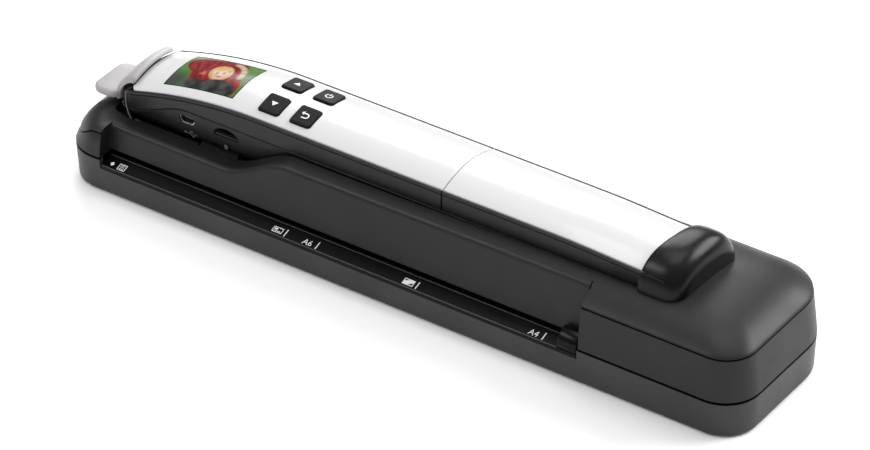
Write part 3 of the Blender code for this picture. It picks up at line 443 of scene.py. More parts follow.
def circuit_board(name):
    """Solder resist with raised tracks and tinned pads."""
    n = Nodes(name)
    on_track = n.ramp(n.voronoi(3.2, 'DISTANCE_TO_EDGE'), 1.0, 0.0, 0.03, 0.06)
    pads = n.ramp(n.voronoi(2.1), 1.0, 0.0, 0.14, 0.17)
    green = n.blend(on_track, (0.012, 0.085, 0.035), (0.03, 0.17, 0.06))
    return n.surface({"Base Color": n.blend(pads, green, (0.62, 0.60, 0.55)),
                      "Roughness": n.ramp(n.noise(4.0, 3.0), 0.22, 0.42),
                      "Normal": n.bump(n.math('ADD', on_track, pads), 0.05, 0.6)})


def clear_glass(name):
    n = Nodes(name)
    return n.surface({"Base Color": n.tone(n.noise(30.0, 2.0), (0.80, 0.88, 0.86), (0.90, 0.95, 0.94)),
                      "Transmission Weight": 0.85, "IOR": 1.5,
                      "Roughness": n.ramp(n.noise(5.0, 4.0), 0.03, 0.09),
                      "Normal": n.bump(n.noise(16.0, 1.0), 0.003, 0.4)})


def ink(name, colour, roughness=0.5):
    """Printed mark: slightly uneven coverage."""
    n = Nodes(name)
    return n.surface({"Base Color": n.tone(n.noise(0.35, 3.0), shade(colour, 0.86), colour),
                      "Roughness": n.ramp(n.noise(0.6, 3.0), roughness * 0.8, roughness * 1.2),
                      "Normal": n.bump(n.noise(0.25, 2.0), 0.004, 0.5)})


def wrap_film(name):
    n = Nodes(name)
    creases = n.noise(4.0, 5.0, n.stretched((0.25, 1.0, 1.0)))
    return n.surface({"Base Color": n.tone(creases, (0.05, 0.065, 0.11), (0.09, 0.11, 0.18)),
                      "Roughness": n.ramp(creases, 0.22, 0.42), "Normal": n.bump(creases, 0.05, 0.6)})


def picture_material(name):
    """Colours painted on the mesh, broken up by the display's fine dot grid, under a hard clear window."""
    n = Nodes(name)
    painted = n.add("VertexColor", layer_name="picture").outputs["Color"]
    dots = n.tone(n.noise(0.16, 1.0), (0.93, 0.93, 0.93), (1.0, 1.0, 1.0))
    picture = n.blend(1.0, painted, dots, 'MULTIPLY')
    return n.surface({"Base Color": picture, "Emission Color": picture, "Emission Strength": 0.04,
                      "Roughness": n.ramp(n.noise(12.0, 3.0), 0.12, 0.2), "Coat Weight": 0.0,
                      "Specular IOR Level": 0.14, "Normal": n.bump(n.noise(9.0, 1.0), 0.003, 0.3)})


HOUSING = moulded("dock_housing_plastic", (0.0085, 0.0083, 0.0086), 0.42, specular=0.27)
CASING = moulded("wand_casing_plastic", (0.0050, 0.0050, 0.0053), 0.34, 0.3, 0.008, specular=0.30)
HOOD_PLASTIC = moulded("hood_plastic", (0.0022, 0.0022, 0.0024), 0.28, 0.3, 0.006, specular=0.20)
LATCH_PLASTIC = moulded("latch_plastic", (0.345, 0.335, 0.333), 0.42, 0.4, 0.01, (0.48, 0.47, 0.465))
KEY_PLASTIC = moulded("key_plastic", (0.0040, 0.0040, 0.0043), 0.42, 0.25, 0.008, specular=0.13)
GLOSS_BLACK = polished("gloss_black_plastic", (0.006, 0.006, 0.0065), 0.10)
STRIP_BLACK = polished("entry_strip_black", (0.0022, 0.0022, 0.0024), 0.2, coat=0.0, specular=0.12)
# Grey for two thin ribs along the entry strip's edges, painted as the highlight lines on them.
STRIP_EDGE_HIGHLIGHT = moulded("entry_strip_edge_highlights", (0.040, 0.040, 0.041), 0.4)
# Much lighter than the upper housing's plastic: painted light standing in for the front light on the lower
# housing.
LOWER_HOUSING_LIT = moulded("dock_lower_plastic_painted_lit", (0.0290, 0.0286, 0.0293), 0.42, specular=0.28)
# Light grey for a thin strip along the end cap's edge: a painted highlight standing in for the glint on the
# gloss black cap.
END_CAP_HIGHLIGHT = moulded("end_cap_painted_highlight", (0.13, 0.13, 0.132), 0.3, 0.3, 0.006)
# Near-black material painted as shade: it stands in for the shadow inside grooves and recesses.
GROOVE_SHADE = moulded("shaded_groove", (0.0006, 0.0006, 0.0006), 0.95, specular=0.0,
                 edge_colour=(0.001, 0.001, 0.001))
CARD_PLASTIC = moulded("memory_card_plastic", (0.006, 0.006, 0.0065), 0.5, specular=0.25)
GLOSS_WHITE = polished("gloss_white_plastic", (0.535, 0.535, 0.54), 0.16, coat=0.25, specular=0.35)
STEEL = metal("ground_steel", (0.58, 0.58, 0.57), 0.3)
BRONZE = metal("sintered_bronze", (0.55, 0.38, 0.18), 0.45, (1.0, 1.0, 1.0), 0.6)
NYLON = moulded("gear_nylon", (0.78, 0.77, 0.71), 0.45, 0.3, 0.01, (0.86, 0.85, 0.80))
RUBBER = rubber("grip_rubber")
BOARD = circuit_board("circuit_board")
GLASS = clear_glass("scan_glass")
WRAP = wrap_film("battery_wrap")
WHITE_INK = ink("white_print", (0.80, 0.80, 0.80))
GREY_INK = ink("grey_print", (0.085, 0.085, 0.087))
PICTURE = picture_material("screen_picture")

SLOT_MATERIAL = {
    "satin_black": HOUSING, "hood_black": HOOD_PLASTIC, "gloss_black": GLOSS_BLACK,
    "gloss_white": GLOSS_WHITE, "grey_plastic": LATCH_PLASTIC, "key_plastic": KEY_PLASTIC,
    "screen_glass": PICTURE, "scan_glass": GLASS, "rubber": RUBBER, "steel": STEEL, "bronze": BRONZE,
    "gear_nylon": NYLON, "circuit_board": BOARD, "battery_wrap": WRAP}


# ---------------------------------------------------------------- dock housing

def long_side():
    """X places along a long side, closer together where the shelf dips."""
    ends = DOCK_LENGTH / 2 - REAR_CORNER_R
    stops = [ends - 7.0, SHELF_START_X + 6.0, DIP_END_X - 6.0, -ends + 7.0]
    places = between(stops[0], stops[1], 7.0)
    places += between(stops[1], stops[2], 2.0)[1:]
    places += between(stops[2], stops[3], 7.0)[1:]
    return places


def dock_outline(inset, steps=14):
    half_x = DOCK_LENGTH / 2 - inset
    half_y = DOCK_DEPTH / 2 - inset
    points = []
    for first, side_x, side_y in CORNERS:
        r = (REAR_CORNER_R if side_y > 0 else FRONT_CORNER_R) - inset
        points += arc((side_x * (half_x - r), side_y * (half_y - r)), r, first, first + 90.0, steps)
        if first == 0:
            points += [(x, half_y) for x in long_side()]
        if first == 180:
            points += [(x, -half_y) for x in reversed(long_side())]
    return points


def rim_height(x, y):
    rear = eased(y, -22.0, 22.0)
    front_rise = eased(x, DIP_END_X, SHELF_START_X)
    front_z = mix(RIM_LEFT_FRONT_Z, RIM_RIGHT_Z, front_rise)
    rear_z = mix(RIM_LEFT_REAR_Z, RIM_RIGHT_Z, eased(x, -60.0, 115.0))
    return mix(mix(front_z, rear_z, rear), RIM_END_Z, eased(x, -140.0, -154.0))


def crown_height(x, y):
    right_z = mix(SHELF_Z, SHELF_RIGHT_Z, eased(x, -50.0, 90.0))
    rise = eased(x, DIP_END_X, SHELF_START_X)
    low_z = mix(DIP_Z, RIM_LEFT_REAR_Z + 2.4, eased(y, 2.0, 26.0))
    rear_fall = 3.0 * eased(y, 12.0, 32.0) * eased(x, 110.0, 70.0)
    return mix(mix(low_z, right_z - rear_fall, rise), BLOCK_Z, eased(x, -136.0, -146.0))


def shoulder(distance, x):
    """Share of the rise from rim to crown at this distance inside the rim."""
    return 1.0 - math.exp(-distance / mix(BLOCK_SHOULDER_RUN, SHOULDER_RUN, eased(x, -140.0, -110.0)))


def roof_height(x, y):
    """Top face of the housing along its straight run."""
    edge = DOCK_DEPTH / 2 - TOP_INSET
    return mix(rim_height(x, math.copysign(edge, y)), crown_height(x, y), shoulder(edge - abs(y), x))


RIM_LINE = ((0.0, -0.95), (0.08, -0.86), (0.62, -0.84), (0.62, -0.20), (0.16, -0.16), (0.20, -0.02))


def level(outline, z):
    return [(x, y, z) for x, y in outline]


def housing_solid(name, inset=0.0, drop=0.0, foot_z=SEAM_HIGH, detailed=True):
    """The upper housing as a full solid, with a fine line where its sides meet its roof."""
    steps = 14 if detailed else 6
    rim = dock_outline(inset + TOP_INSET, steps)
    half_y = DOCK_DEPTH / 2 - inset - TOP_INSET
    spine_end = DOCK_LENGTH / 2 - inset - TOP_INSET - half_y
    bm = bmesh.new()
    rings = []
    if detailed:
        rings.append(level(dock_outline(inset + EDGE, steps), foot_z))
        rings.append(level(dock_outline(inset, steps), foot_z + EDGE))
        waist = dock_outline(inset + TOP_INSET / 2, steps)
        rings.append([(x, y, (foot_z + rim_height(x, y)) / 2) for x, y in waist])
        for step_in, lower in RIM_LINE:
            line = dock_outline(inset + TOP_INSET + step_in, steps)
            rings.append([(x, y, rim_height(x, y) + lower) for x, y in line])
        distances = [0.5, 1.1, 1.8, 2.6, 3.6, 5.0, 6.6, 8.6, 11.0, 14.0, 18.0, 23.0, 28.0]
    else:
        rings.append(level(dock_outline(inset, steps), foot_z))
        distances = [0.0, 1.0, 2.6, 5.0, 8.6, 12.5, 18.0, 25.0]
    for distance in distances + [half_y]:
        ring = []
        for x, y in rim:
            spine_x = min(max(x, -spine_end), spine_end)
            px = mix(x, spine_x, distance / half_y)
            py = mix(y, 0.0, distance / half_y)
            pz = mix(rim_height(x, y), crown_height(px, py), shoulder(distance, px)) - drop
            ring.append((px, py, pz))
        rings.append(ring)
    verts = [[bm.verts.new(p) for p in ring] for ring in rings]
    stitch(bm, verts)
    bm.faces.new(list(reversed(verts[0])))
    bmesh.ops.remove_doubles(bm, verts=bm.verts, dist=0.02)
    bmesh.ops.dissolve_degenerate(bm, dist=0.01, edges=bm.edges)
    return add_object(name, bm)


def wall_y(z):
    """Y of the leaning wall's face at this height."""
    share = (z - WALL_FOOT[1]) / (WALL_TOP[1] - WALL_FOOT[1])
    return mix(WALL_FOOT[0], WALL_TOP[0], share)


def ridge_point(x):
    """Where the leaning wall meets the roof."""
    z = WALL_TOP[1]
    for _ in range(8):
        z = roof_height(x, wall_y(z))
    return wall_y(z), z


def notch_section(x):
    """Space in front of the leaning wall, whose ridge is rounded over."""
    ridge_y, ridge_z = ridge_point(x)
    start = (wall_y(ridge_z - RIDGE_ROUND), ridge_z - RIDGE_ROUND)
    end_y = ridge_y + RIDGE_ROUND
    end = (end_y, roof_height(x, end_y) + 0.02)
    loop = [(x, OUTSIDE_Y, 5.0), (x, wall_y(5.0), 5.0), (x, wall_y(WALL_FOOT[1]), WALL_FOOT[1])]
    for k in range(9):
        t = k / 8
        y = (1 - t) ** 2 * start[0] + 2 * t * (1 - t) * ridge_y + t * t * end[0]
        z = (1 - t) ** 2 * start[1] + 2 * t * (1 - t) * ridge_z + t * t * end[1]
        loop.append((x, y, z))
    loop.append((x, end_y + 0.5, end[1] + 1.0))
    loop.append((x, OUTSIDE_Y, 64.0))
    return loop


def notch_block():
    stations = between(NOTCH_LEFT, DIP_END_X - 4.0, 8.0)
    stations += between(DIP_END_X - 4.0, SHELF_START_X + 4.0, 1.5)[1:]
    stations += between(SHELF_START_X + 4.0, NOTCH_RIGHT + 0.6, 9.0)[1:]
    return loft("notch_block", [notch_section(x) for x in stations])


def notch_end_groove():
    """Fine line where the leaning wall and its ridge meet the raised end block."""
    sections = [[(x, y + 0.7, z - 0.2) for _, y, z in notch_section(x)[1:-2]]
                for x in (NOTCH_RIGHT - 0.55, NOTCH_RIGHT - 0.05)]
    for loop in sections:
        loop.insert(0, (loop[0][0], OUTSIDE_Y, loop[0][2]))
        loop.append((loop[0][0], OUTSIDE_Y, loop[-1][2]))
    return loft("notch_end_groove", sections)


def painted_shade_band(name, outer, depth, low, high):
    """Near-black band painted as the shade at the bottom of a groove that runs round the dock; low and high
    give its edges at a point.
    """
    rim, inner = dock_outline(outer), dock_outline(outer + depth)
    bm = bmesh.new()
    loops = [[bm.verts.new((x, y, edge(x, y))) for x, y in outline]
             for outline, edge in ((rim, low), (rim, high), (inner, high), (inner, low))]
    stitch(bm, loops + loops[:1])
    return add_object(name, bm)


def build_groove_shade_bands():
    # Both bands are painted shade: near-black sheets deep in the rim line and in the seam.
    rim_shade_band = painted_shade_band("rim_groove_shade_band", TOP_INSET + 0.34, 0.4, lambda x, y: rim_height(x, y) - 0.85,
                         lambda x, y: rim_height(x, y) - 0.19)
    boolean(rim_shade_band, [notch_block()])
    show(rim_shade_band, GROOVE_SHADE, "dock")
    seam_shade_band = painted_shade_band("seam_shade_band", 0.42, 0.5, lambda x, y: SEAM_LOW - 0.59, lambda x, y: SEAM_HIGH + 0.02)
    boolean(seam_shade_band, [box("band_gap", (NOTCH_LEFT, OUTSIDE_Y, 0.0), (NOTCH_RIGHT, -27.0, 40.0))])
    show(seam_shade_band, GROOVE_SHADE, "dock")


SCREW_PLACES, FOOT_PLACES = ([centre_of(n).xy for n in sorted(frame["nodes"]) if n.startswith(start)]
                             for start in ("case_screw", "foot_"))


POST_R = 3.4
POST_LOW = 14.2
CRADLE_WALL = 2.6
SCAN_WINDOW = ((-138.0, -18.5, 20.0), (83.0, 15.5, 32.0))
EXIT_SLOT = ((NOTCH_LEFT, 24.0, 10.0), (80.0, 45.0, 22.0))
SHEET_SLOT = ((NOTCH_LEFT, -32.0, 10.0), (NOTCH_RIGHT, -24.0, 17.6))


def build_upper_housing():
    shell = housing_solid("upper_housing")
    hollow = housing_solid("upper_hollow", WALL, WALL, SEAM_HIGH - 4.0, False)
    lean = [(OUTSIDE_Y, 5.0), (wall_y(5.0) + WALL, 5.0), (wall_y(OVERHEAD_Z) + WALL, OVERHEAD_Z),
            (OUTSIDE_Y, OVERHEAD_Z)]
    cradle_half = WAND_HALF + CRADLE_WALL
    boolean(hollow, [plate("notch_backing", lean, 'YZ', NOTCH_LEFT - WALL, NOTCH_RIGHT + WALL),
                     box("cradle_block", (WAND_LEFT - 3.2, WAND_Y - cradle_half, 24.8),
                         (WAND_RIGHT + 3.2, WAND_Y + cradle_half, OVERHEAD_Z))])
    cradle_half_x = (WAND_RIGHT - WAND_LEFT) / 2 + 1.2
    cradle = rounded_outline(cradle_half_x, WAND_HALF + 0.9, 1.5, 5, ((WAND_LEFT + WAND_RIGHT) / 2, WAND_Y))
    stem_slot = rounded_outline(5.25, 7.0, 1.0, 4, (PIVOT.x - 2.85, WAND_Y))
    boolean(shell, [hollow, notch_block(), notch_end_groove(),
                    plate("cradle", cradle, 'XY', WAND_BOTTOM - 0.9, 70.0),
                    box("scan_window", *SCAN_WINDOW), box("exit_slot", *EXIT_SLOT),
                    box("sheet_slot", *SHEET_SLOT),
                    plate("stem_slot", stem_slot, 'XY', 20.0, 45.0)])
    posts = []
    for k, (x, y) in enumerate(SCREW_PLACES):
        outer_y = y + math.copysign(POST_R, y)
        top_z = min(roof_height(x, outer_y), rim_height(x, outer_y) + 6.0) - 1.2
        posts.append(rod(f"post_{k}", (x, y), POST_R, POST_LOW, top_z, 24))
    boolean(shell, posts, 'UNION')
    boolean(shell, [rod(f"post_hole_{k}", place, 1.5, 13.1, 22.1, 16)
                    for k, place in enumerate(SCREW_PLACES)])
    show(shell, HOUSING, "dock", "top_shell")


BASE_PROFILE_STEPS = 6
LATCH_EAR_HALF = Vector((3.6, 1.2, 5.8))
SEAM_STEP = ((0.02, 0.75), (0.12, 0.62), (0.75, 0.58), (0.75, 0.0))


def build_lower_housing():
    sections = [level(dock_outline(BASE_INSET + BASE_FILLET), BASE_BOTTOM)]
    for c, s in arc((0.0, 0.0), 1.0, 0.0, 90.0, BASE_PROFILE_STEPS)[1:]:
        inset = BASE_INSET * 0.86 + (BASE_FILLET + BASE_INSET * 0.14) * (1.0 - s)
        sections.append(level(dock_outline(inset), BASE_BOTTOM + BASE_FILLET * 1.5 * (1.0 - c)))
    sections += [level(dock_outline(inset), SEAM_LOW - lower) for inset, lower in SEAM_STEP]
    shell = loft("lower_housing", sections)
    hollow = loft("lower_hollow", [level(dock_outline(WALL + inset, 6), z)
                                   for inset, z in ((BASE_INSET, FLOOR), (0.0, 30.0))])
    boolean(shell, [hollow])
    added = [rod(f"base_post_{k}", place, 3.6, 1.6, 13.6, 24) for k, place in enumerate(SCREW_PLACES)]
    for side in (-1, 1):
        ear = Vector((PIVOT.x, PIVOT.y + side * 9.0, 6.8))
        added.append(box(f"latch_ear_{side}", ear - LATCH_EAR_HALF, ear + LATCH_EAR_HALF))
    boolean(shell, added, 'UNION')
    holes = []
    for k, place in enumerate(SCREW_PLACES):
        holes += [rod(f"screw_hole_{k}", place, 1.6, -3.0, 17.0, 20),
                  rod(f"screw_sink_{k}", place, 2.9, -1.65, 1.65, 28)]
    holes += [rod(f"foot_recess_{k}", place, 5.2, -1.4, 1.4, 36) for k, place in enumerate(FOOT_PLACES)]
    boolean(shell, holes)
    boolean(shell, [rod("pin_bore", PIVOT.xz, 1.45, -14.4, 11.6, 20, 'XZ'),
                    rod("jack_hole", centre_of("power_jack").xz, 3.2, 30.0, 42.0, 32, 'XZ'),
                    box("slot_relief", (NOTCH_LEFT, OUTSIDE_Y, strip_low.z - 0.4),
                        (NOTCH_RIGHT, -27.0, 40.0))])
    # The lower housing gets its lighter plastic, painted as the front light falling on it.
    show(shell, LOWER_HOUSING_LIT, "dock", "base_shell")


HOOD_FULL_X = 110.0
HOOD_END_X = 122.0
HOOD_MOUTH_SKEW = 6.0
HOOD_END_SKEW = 2.5
HOOD_FOOT_Z = 38.0
HOOD_POWER = 2.7


def hood_share(x):
    """Height share of the hood at this x: full at the middle, rolling down to its end."""
    if x < HOOD_FULL_X:
        return 1.0 - 0.035 * ((HOOD_FULL_X - x) / (HOOD_FULL_X - hood_low.x)) ** 3
    run = (x - HOOD_FULL_X) / (HOOD_END_X - HOOD_FULL_X)
    return 0.5 + 0.5 * max(1.0 - run ** 3.3, 0.0) ** 0.5


def build_hood():
    half_full = (hood_high.y - hood_low.y) / 2
    stations = [hood_low.x, hood_low.x + 0.25, hood_low.x + 0.8] + between(106.0, 112.0, 2.0)
    stations += [HOOD_END_X - (HOOD_END_X - 112.0) * (1.0 - k / 10) ** 2 for k in range(1, 11)]
    sections = []
    for x in stations:
        share = hood_share(x)
        if x == hood_low.x:
            share -= 0.012
        half = half_full * (0.80 + 0.20 * share) * (1.0 if x < HOOD_FULL_X else 0.6 + 0.4 * share)
        rise = (hood_high.z - HOOD_FOOT_Z) * share
        skew = mix(HOOD_MOUTH_SKEW, HOOD_END_SKEW, (x - hood_low.x) / (HOOD_END_X - hood_low.x))
        loop = []
        for c, s in arc((0.0, 0.0), 1.0, 0.0, 180.0, 36):
            y = math.copysign(abs(c) ** (2.0 / HOOD_POWER), c) * half
            z = HOOD_FOOT_Z + abs(s) ** (2.0 / HOOD_POWER) * rise
            loop.append((x + skew * (0.5 + 0.5 * y / half_full), WAND_Y + y, z))
        sections.append(loop)
    hood = loft("wand_hood", sections)
    seat = housing_solid("hood_seat", 0.0, -0.3, 0.0, False)
    tunnel = [casing_section(x, 0.7, -8.0) for x in (95.0, 103.0, 110.0, WAND_RIGHT + 0.6)]
    boolean(hood, [seat, loft("hood_tunnel", tunnel)])
    show(hood, HOOD_PLASTIC, "dock", "hood", angle=40.0)


# ---------------------------------------------------------------- wand shape

def wand_rim(x):
    droop = 1.4 * eased(x, 66.0, 110.0)
    fall = 0.00255 * max(-72.0 - x, 0.0) ** 2
    return RIM_Z - droop - fall


def crown_rise(offset):
    return (PANEL_HALF ** 2 - offset ** 2) / (2.0 * CROWN_R)


def nose_share(x):
    return min(max((NOSE_START - x) / (NOSE_START - WAND_LEFT), 0.0), 1.0)


def nose_cut(x):
    return math.sqrt(max(1.0 - nose_share(x) ** 2, 0.0))


def wand_top(x, offset):
    height = wand_rim(max(x, NOSE_START)) + crown_rise(offset)
    return mix(NOSE_FOOT_Z, height, nose_cut(x))


def wand_half(x):
    return WAND_HALF - 4.2 * (1.0 - nose_cut(x))


def belt_height(x):
    return BELT_Z - 9.0 * eased(x, -106.0, -136.0)


def wand_stations(start, end):
    """X places along the wand, closer together round the nose and where the top falls away."""
    nose = [WAND_LEFT + (NOSE_START - WAND_LEFT) * (1.0 - math.cos(math.pi / 2 * k / 12)) for k in range(13)]
    rest = between(NOSE_START, -70.0, 3.5) + between(-70.0, 66.0, 10.0) + between(66.0, WAND_RIGHT, 4.0)
    middle = sorted({round(x, 4) for x in nose + rest if start + 0.05 < x < end - 0.05})
    return [start] + middle + [end]


CROWN_STEPS = [math.sin(math.pi / 2 * k / 12) for k in range(-12, 13)]


def casing_section(x, grow=0.0, foot_gap=0.2, pull=0.0):
    """Wand outline above the belt line; its upper edge is rounded over."""
    half = wand_half(x) + grow - pull
    foot = belt_height(x) + foot_gap
    edge = max(wand_top(x, PANEL_HALF), foot + 0.5) + grow - pull
    round_r = min(0.4, (edge - foot) * 0.4)
    side = [(half - 0.1, foot), (half, foot + 0.1)]
    groove = 0.38 * eased(edge - foot, 2.0, 4.0) if grow < 0.1 else 0.0
    line_z = edge - min(1.5, (edge - foot) * 0.5)
    for z, depth in ((-0.24, 0.0), (-0.2, 1.0), (0.2, 1.0), (0.24, 0.0)):
        side.append((half - groove * depth, line_z + z * eased(edge - foot, 0.0, 2.0)))
    side += arc((half - round_r, edge - round_r), round_r, 0.0, 90.0, 4)
    loop = [(x, WAND_Y - y, z) for y, z in side]
    for share in CROWN_STEPS[1:-1]:
        offset = share * (half - round_r)
        top = max(wand_top(x, min(abs(offset), PANEL_HALF)), foot + 0.5) + grow - pull
        loop.append((x, WAND_Y + offset, top))
    loop.extend((x, WAND_Y + y, z) for y, z in reversed(side))
    return loop


def keel_section(x, pull=0.0):
    """Wand outline below the belt line."""
    half = wand_half(x) - pull
    bottom = WAND_BOTTOM + 2.6 * (1.0 - nose_cut(x)) + pull
    top = belt_height(x) - 0.2
    radius = min(5.0, top - bottom - 0.5)
    side = [(half - 0.3, top), (half - 0.3, top - 0.25), (half, top - 0.3)]
    side += arc((half - 0.5 - radius, bottom + radius), radius, 0.0, -90.0, 8)
    return [(x, WAND_Y + y, z) for y, z in side] + [(x, WAND_Y - y, z) for y, z in reversed(side)]


def panel_section(x, half, lift, thickness, pull=0.0):
    """Crowned panel with eased long edges."""
    edge = 0.3
    half -= WAND_HALF - wand_half(x)
    offsets = [share * (half - edge) for share in CROWN_STEPS]
    over = [(x, WAND_Y + offset, wand_top(x, abs(offset)) + lift - pull) for offset in offsets]
    rim_z = wand_top(x, half) + lift
    loop = [(x, WAND_Y - half, rim_z - thickness), (x, WAND_Y - half, rim_z - edge)]
    loop += over
    loop += [(x, WAND_Y + half, rim_z - edge), (x, WAND_Y + half, rim_z - thickness)]
    loop += [(x, y, z - thickness + pull) for _, y, z in reversed(over)]
    return loop


def top_panel(name, start, end):
    """White panel with its ends eased like its long edges."""
    stations = [start + 0.25] + wand_stations(start, end)[1:-1] + [end - 0.25]
    first, last = [panel_section(x, PANEL_HALF - 0.02, 0.0, PANEL_THICK, 0.22) for x in (start - 0.001, end)]
    return loft(name, [first] + [panel_section(x, PANEL_HALF, 0.0, PANEL_THICK) for x in stations] + [last])


def panel_seat(name, start, end):
    """Room for a panel, open upwards."""
    return loft(name, [panel_section(x, PANEL_HALF + 0.15, 6.0, 7.8) for x in wand_stations(start, end)])


def inner_block(name, start, end):
    """Room inside an upper casing, under its rim."""
    near, far = WAND_Y - WAND_INSIDE_HALF, WAND_Y + WAND_INSIDE_HALF
    levels = [(x, wand_rim(x) - 2.4) for x in wand_stations(start, end)]
    return loft(name, [[(x, near, 20.0), (x, far, 20.0), (x, far, top), (x, near, top)] for x, top in levels])


def ended(section, start, end):
    """Sections along the wand with both ends eased by a small chamfer."""
    stations = [start + 0.22] + wand_stations(start, end)[1:-1] + [end - 0.22]
    return [section(start, pull=0.2)] + [section(x) for x in stations] + [section(end, pull=0.2)]


# ---------------------------------------------------------------- keys

def to_key(obj, node):
    """Puts an object made round the origin at a key cap's top centre, tilted with the crown."""
    centre = centre_of(node)
    offset = centre.y - WAND_Y
    for _ in range(4):
        tilt = -math.asin(offset / CROWN_R)
        offset = centre.y - WAND_Y + 1.4 * math.sin(-tilt)
    place = Vector((centre.x, WAND_Y + offset, wand_top(centre.x, offset)))
    obj.data.transform(Matrix.Translation(place * MM) @ Matrix.Rotation(tilt, 4, 'X'))
    return obj


def on_key(node, outline, low, high, name):
    return to_key(plate(name, outline, 'XY', low, high), node)


def key_cutters(label, grow=0.3):
    outline = rounded_outline(KEY_HALF[0] + grow, KEY_HALF[1] + grow, 1.5)
    return [on_key(node, outline, -12.0, 8.0, f"{label}_{node}_hole") for node in KEY_NAMES]


def window_cutter(label, grow):
    return box(label, (window_low.x - grow, window_low.y - grow, 30.0),
               (window_high.x + grow, window_high.y + grow, 60.0))


def cap_section(size, z):
    half_a, half_b = KEY_HALF[0] - size, KEY_HALF[1] - size
    return level(rounded_outline(half_a, half_b, max(1.2 - size, 0.4)), z)


def build_keys():
    rounding = [(-a, b) for a, b in arc((-0.5, 0.25), 0.5, 0.0, 90.0, 4)]
    profile = [(0.0, -3.6)] + rounding
    for node in KEY_NAMES:
        cap = loft(node + "_cap", [cap_section(size, z) for size, z in profile])
        show(to_key(cap, node), KEY_PLASTIC, node, node, angle=50.0)


def arc_band(centre, radius, width, start, end, steps=20):
    """Outline of a curved band, angles in degrees."""
    outer = arc(centre, radius + width / 2, start, end, steps)
    return outer + arc(centre, radius - width / 2, end, start, steps)


def bar(x0, y0, x1, y1):
    return [(x0, y0), (x1, y0), (x1, y1), (x0, y1)]


KEY_SIGNS = {
    "key_up": [[(-1.5, -0.9), (1.5, -0.9), (0.0, 1.2)]],
    "key_down": [[(-1.5, 0.9), (0.0, -1.2), (1.5, 0.9)]],
    "key_power": [arc_band((0.0, -0.15), 1.45, 0.42, 125.0, 415.0), bar(-0.21, 0.2, 0.21, 1.85)],
    "key_back": [arc_band((0.35, -0.25), 1.15, 0.5, -90.0, 90.0, 12), bar(-1.2, 0.65, 0.4, 1.15),
                 bar(-1.2, -1.65, 0.4, -1.15), [(-1.1, 1.9), (-2.2, 0.9), (-1.1, -0.1)]]}


def build_key_signs():
    for node, outlines in KEY_SIGNS.items():
        pieces = [on_key(node, outline, 0.7, 0.79, f"{node}_sign_{k}") for k, outline in enumerate(outlines)]
        show(joined(node + "_sign", pieces), WHITE_INK, node)


# ---------------------------------------------------------------- wand casings and ports

USB_LOW, USB_HIGH = span("usb_port")
CARD_LOW, CARD_HIGH = span("memory_card")
USB_PLACE = centre_of("usb_port").xz
CARD_PLACE = centre_of("memory_card").xz
SIDE_Y = WAND_Y - WAND_HALF


def usb_outline(grow):
    """Mini USB shape: a flat D with its lower corners cut away."""
    half, tall, waist = 3.45 + grow, 1.55 + grow, 0.15
    cx, cz = USB_PLACE
    return [(cx - half, cz + tall), (cx - half, cz - waist), (cx - half + 1.1, cz - tall),
            (cx + half - 1.1, cz - tall), (cx + half, cz - waist), (cx + half, cz + tall)]


CASING_CREASE = 38.0


def floor_window(node, margin_x, margin_y):
    """Opening in the wand's underside for a part that looks through it."""
    low, high = span(node)
    return box(node + "_window", (low.x - margin_x, low.y - margin_y, 20.0),
               (high.x + margin_x, high.y + margin_y, 30.0))


def card_dip_outline(slot_x, slot_z):
    """Low dome above the card slot that lets a fingertip reach the card."""
    return [(slot_x + 6.0 * a, slot_z + 0.1 + 3.5 * b) for a, b in arc((0.0, 0.0), 1.0, 0.0, 180.0, 20)]


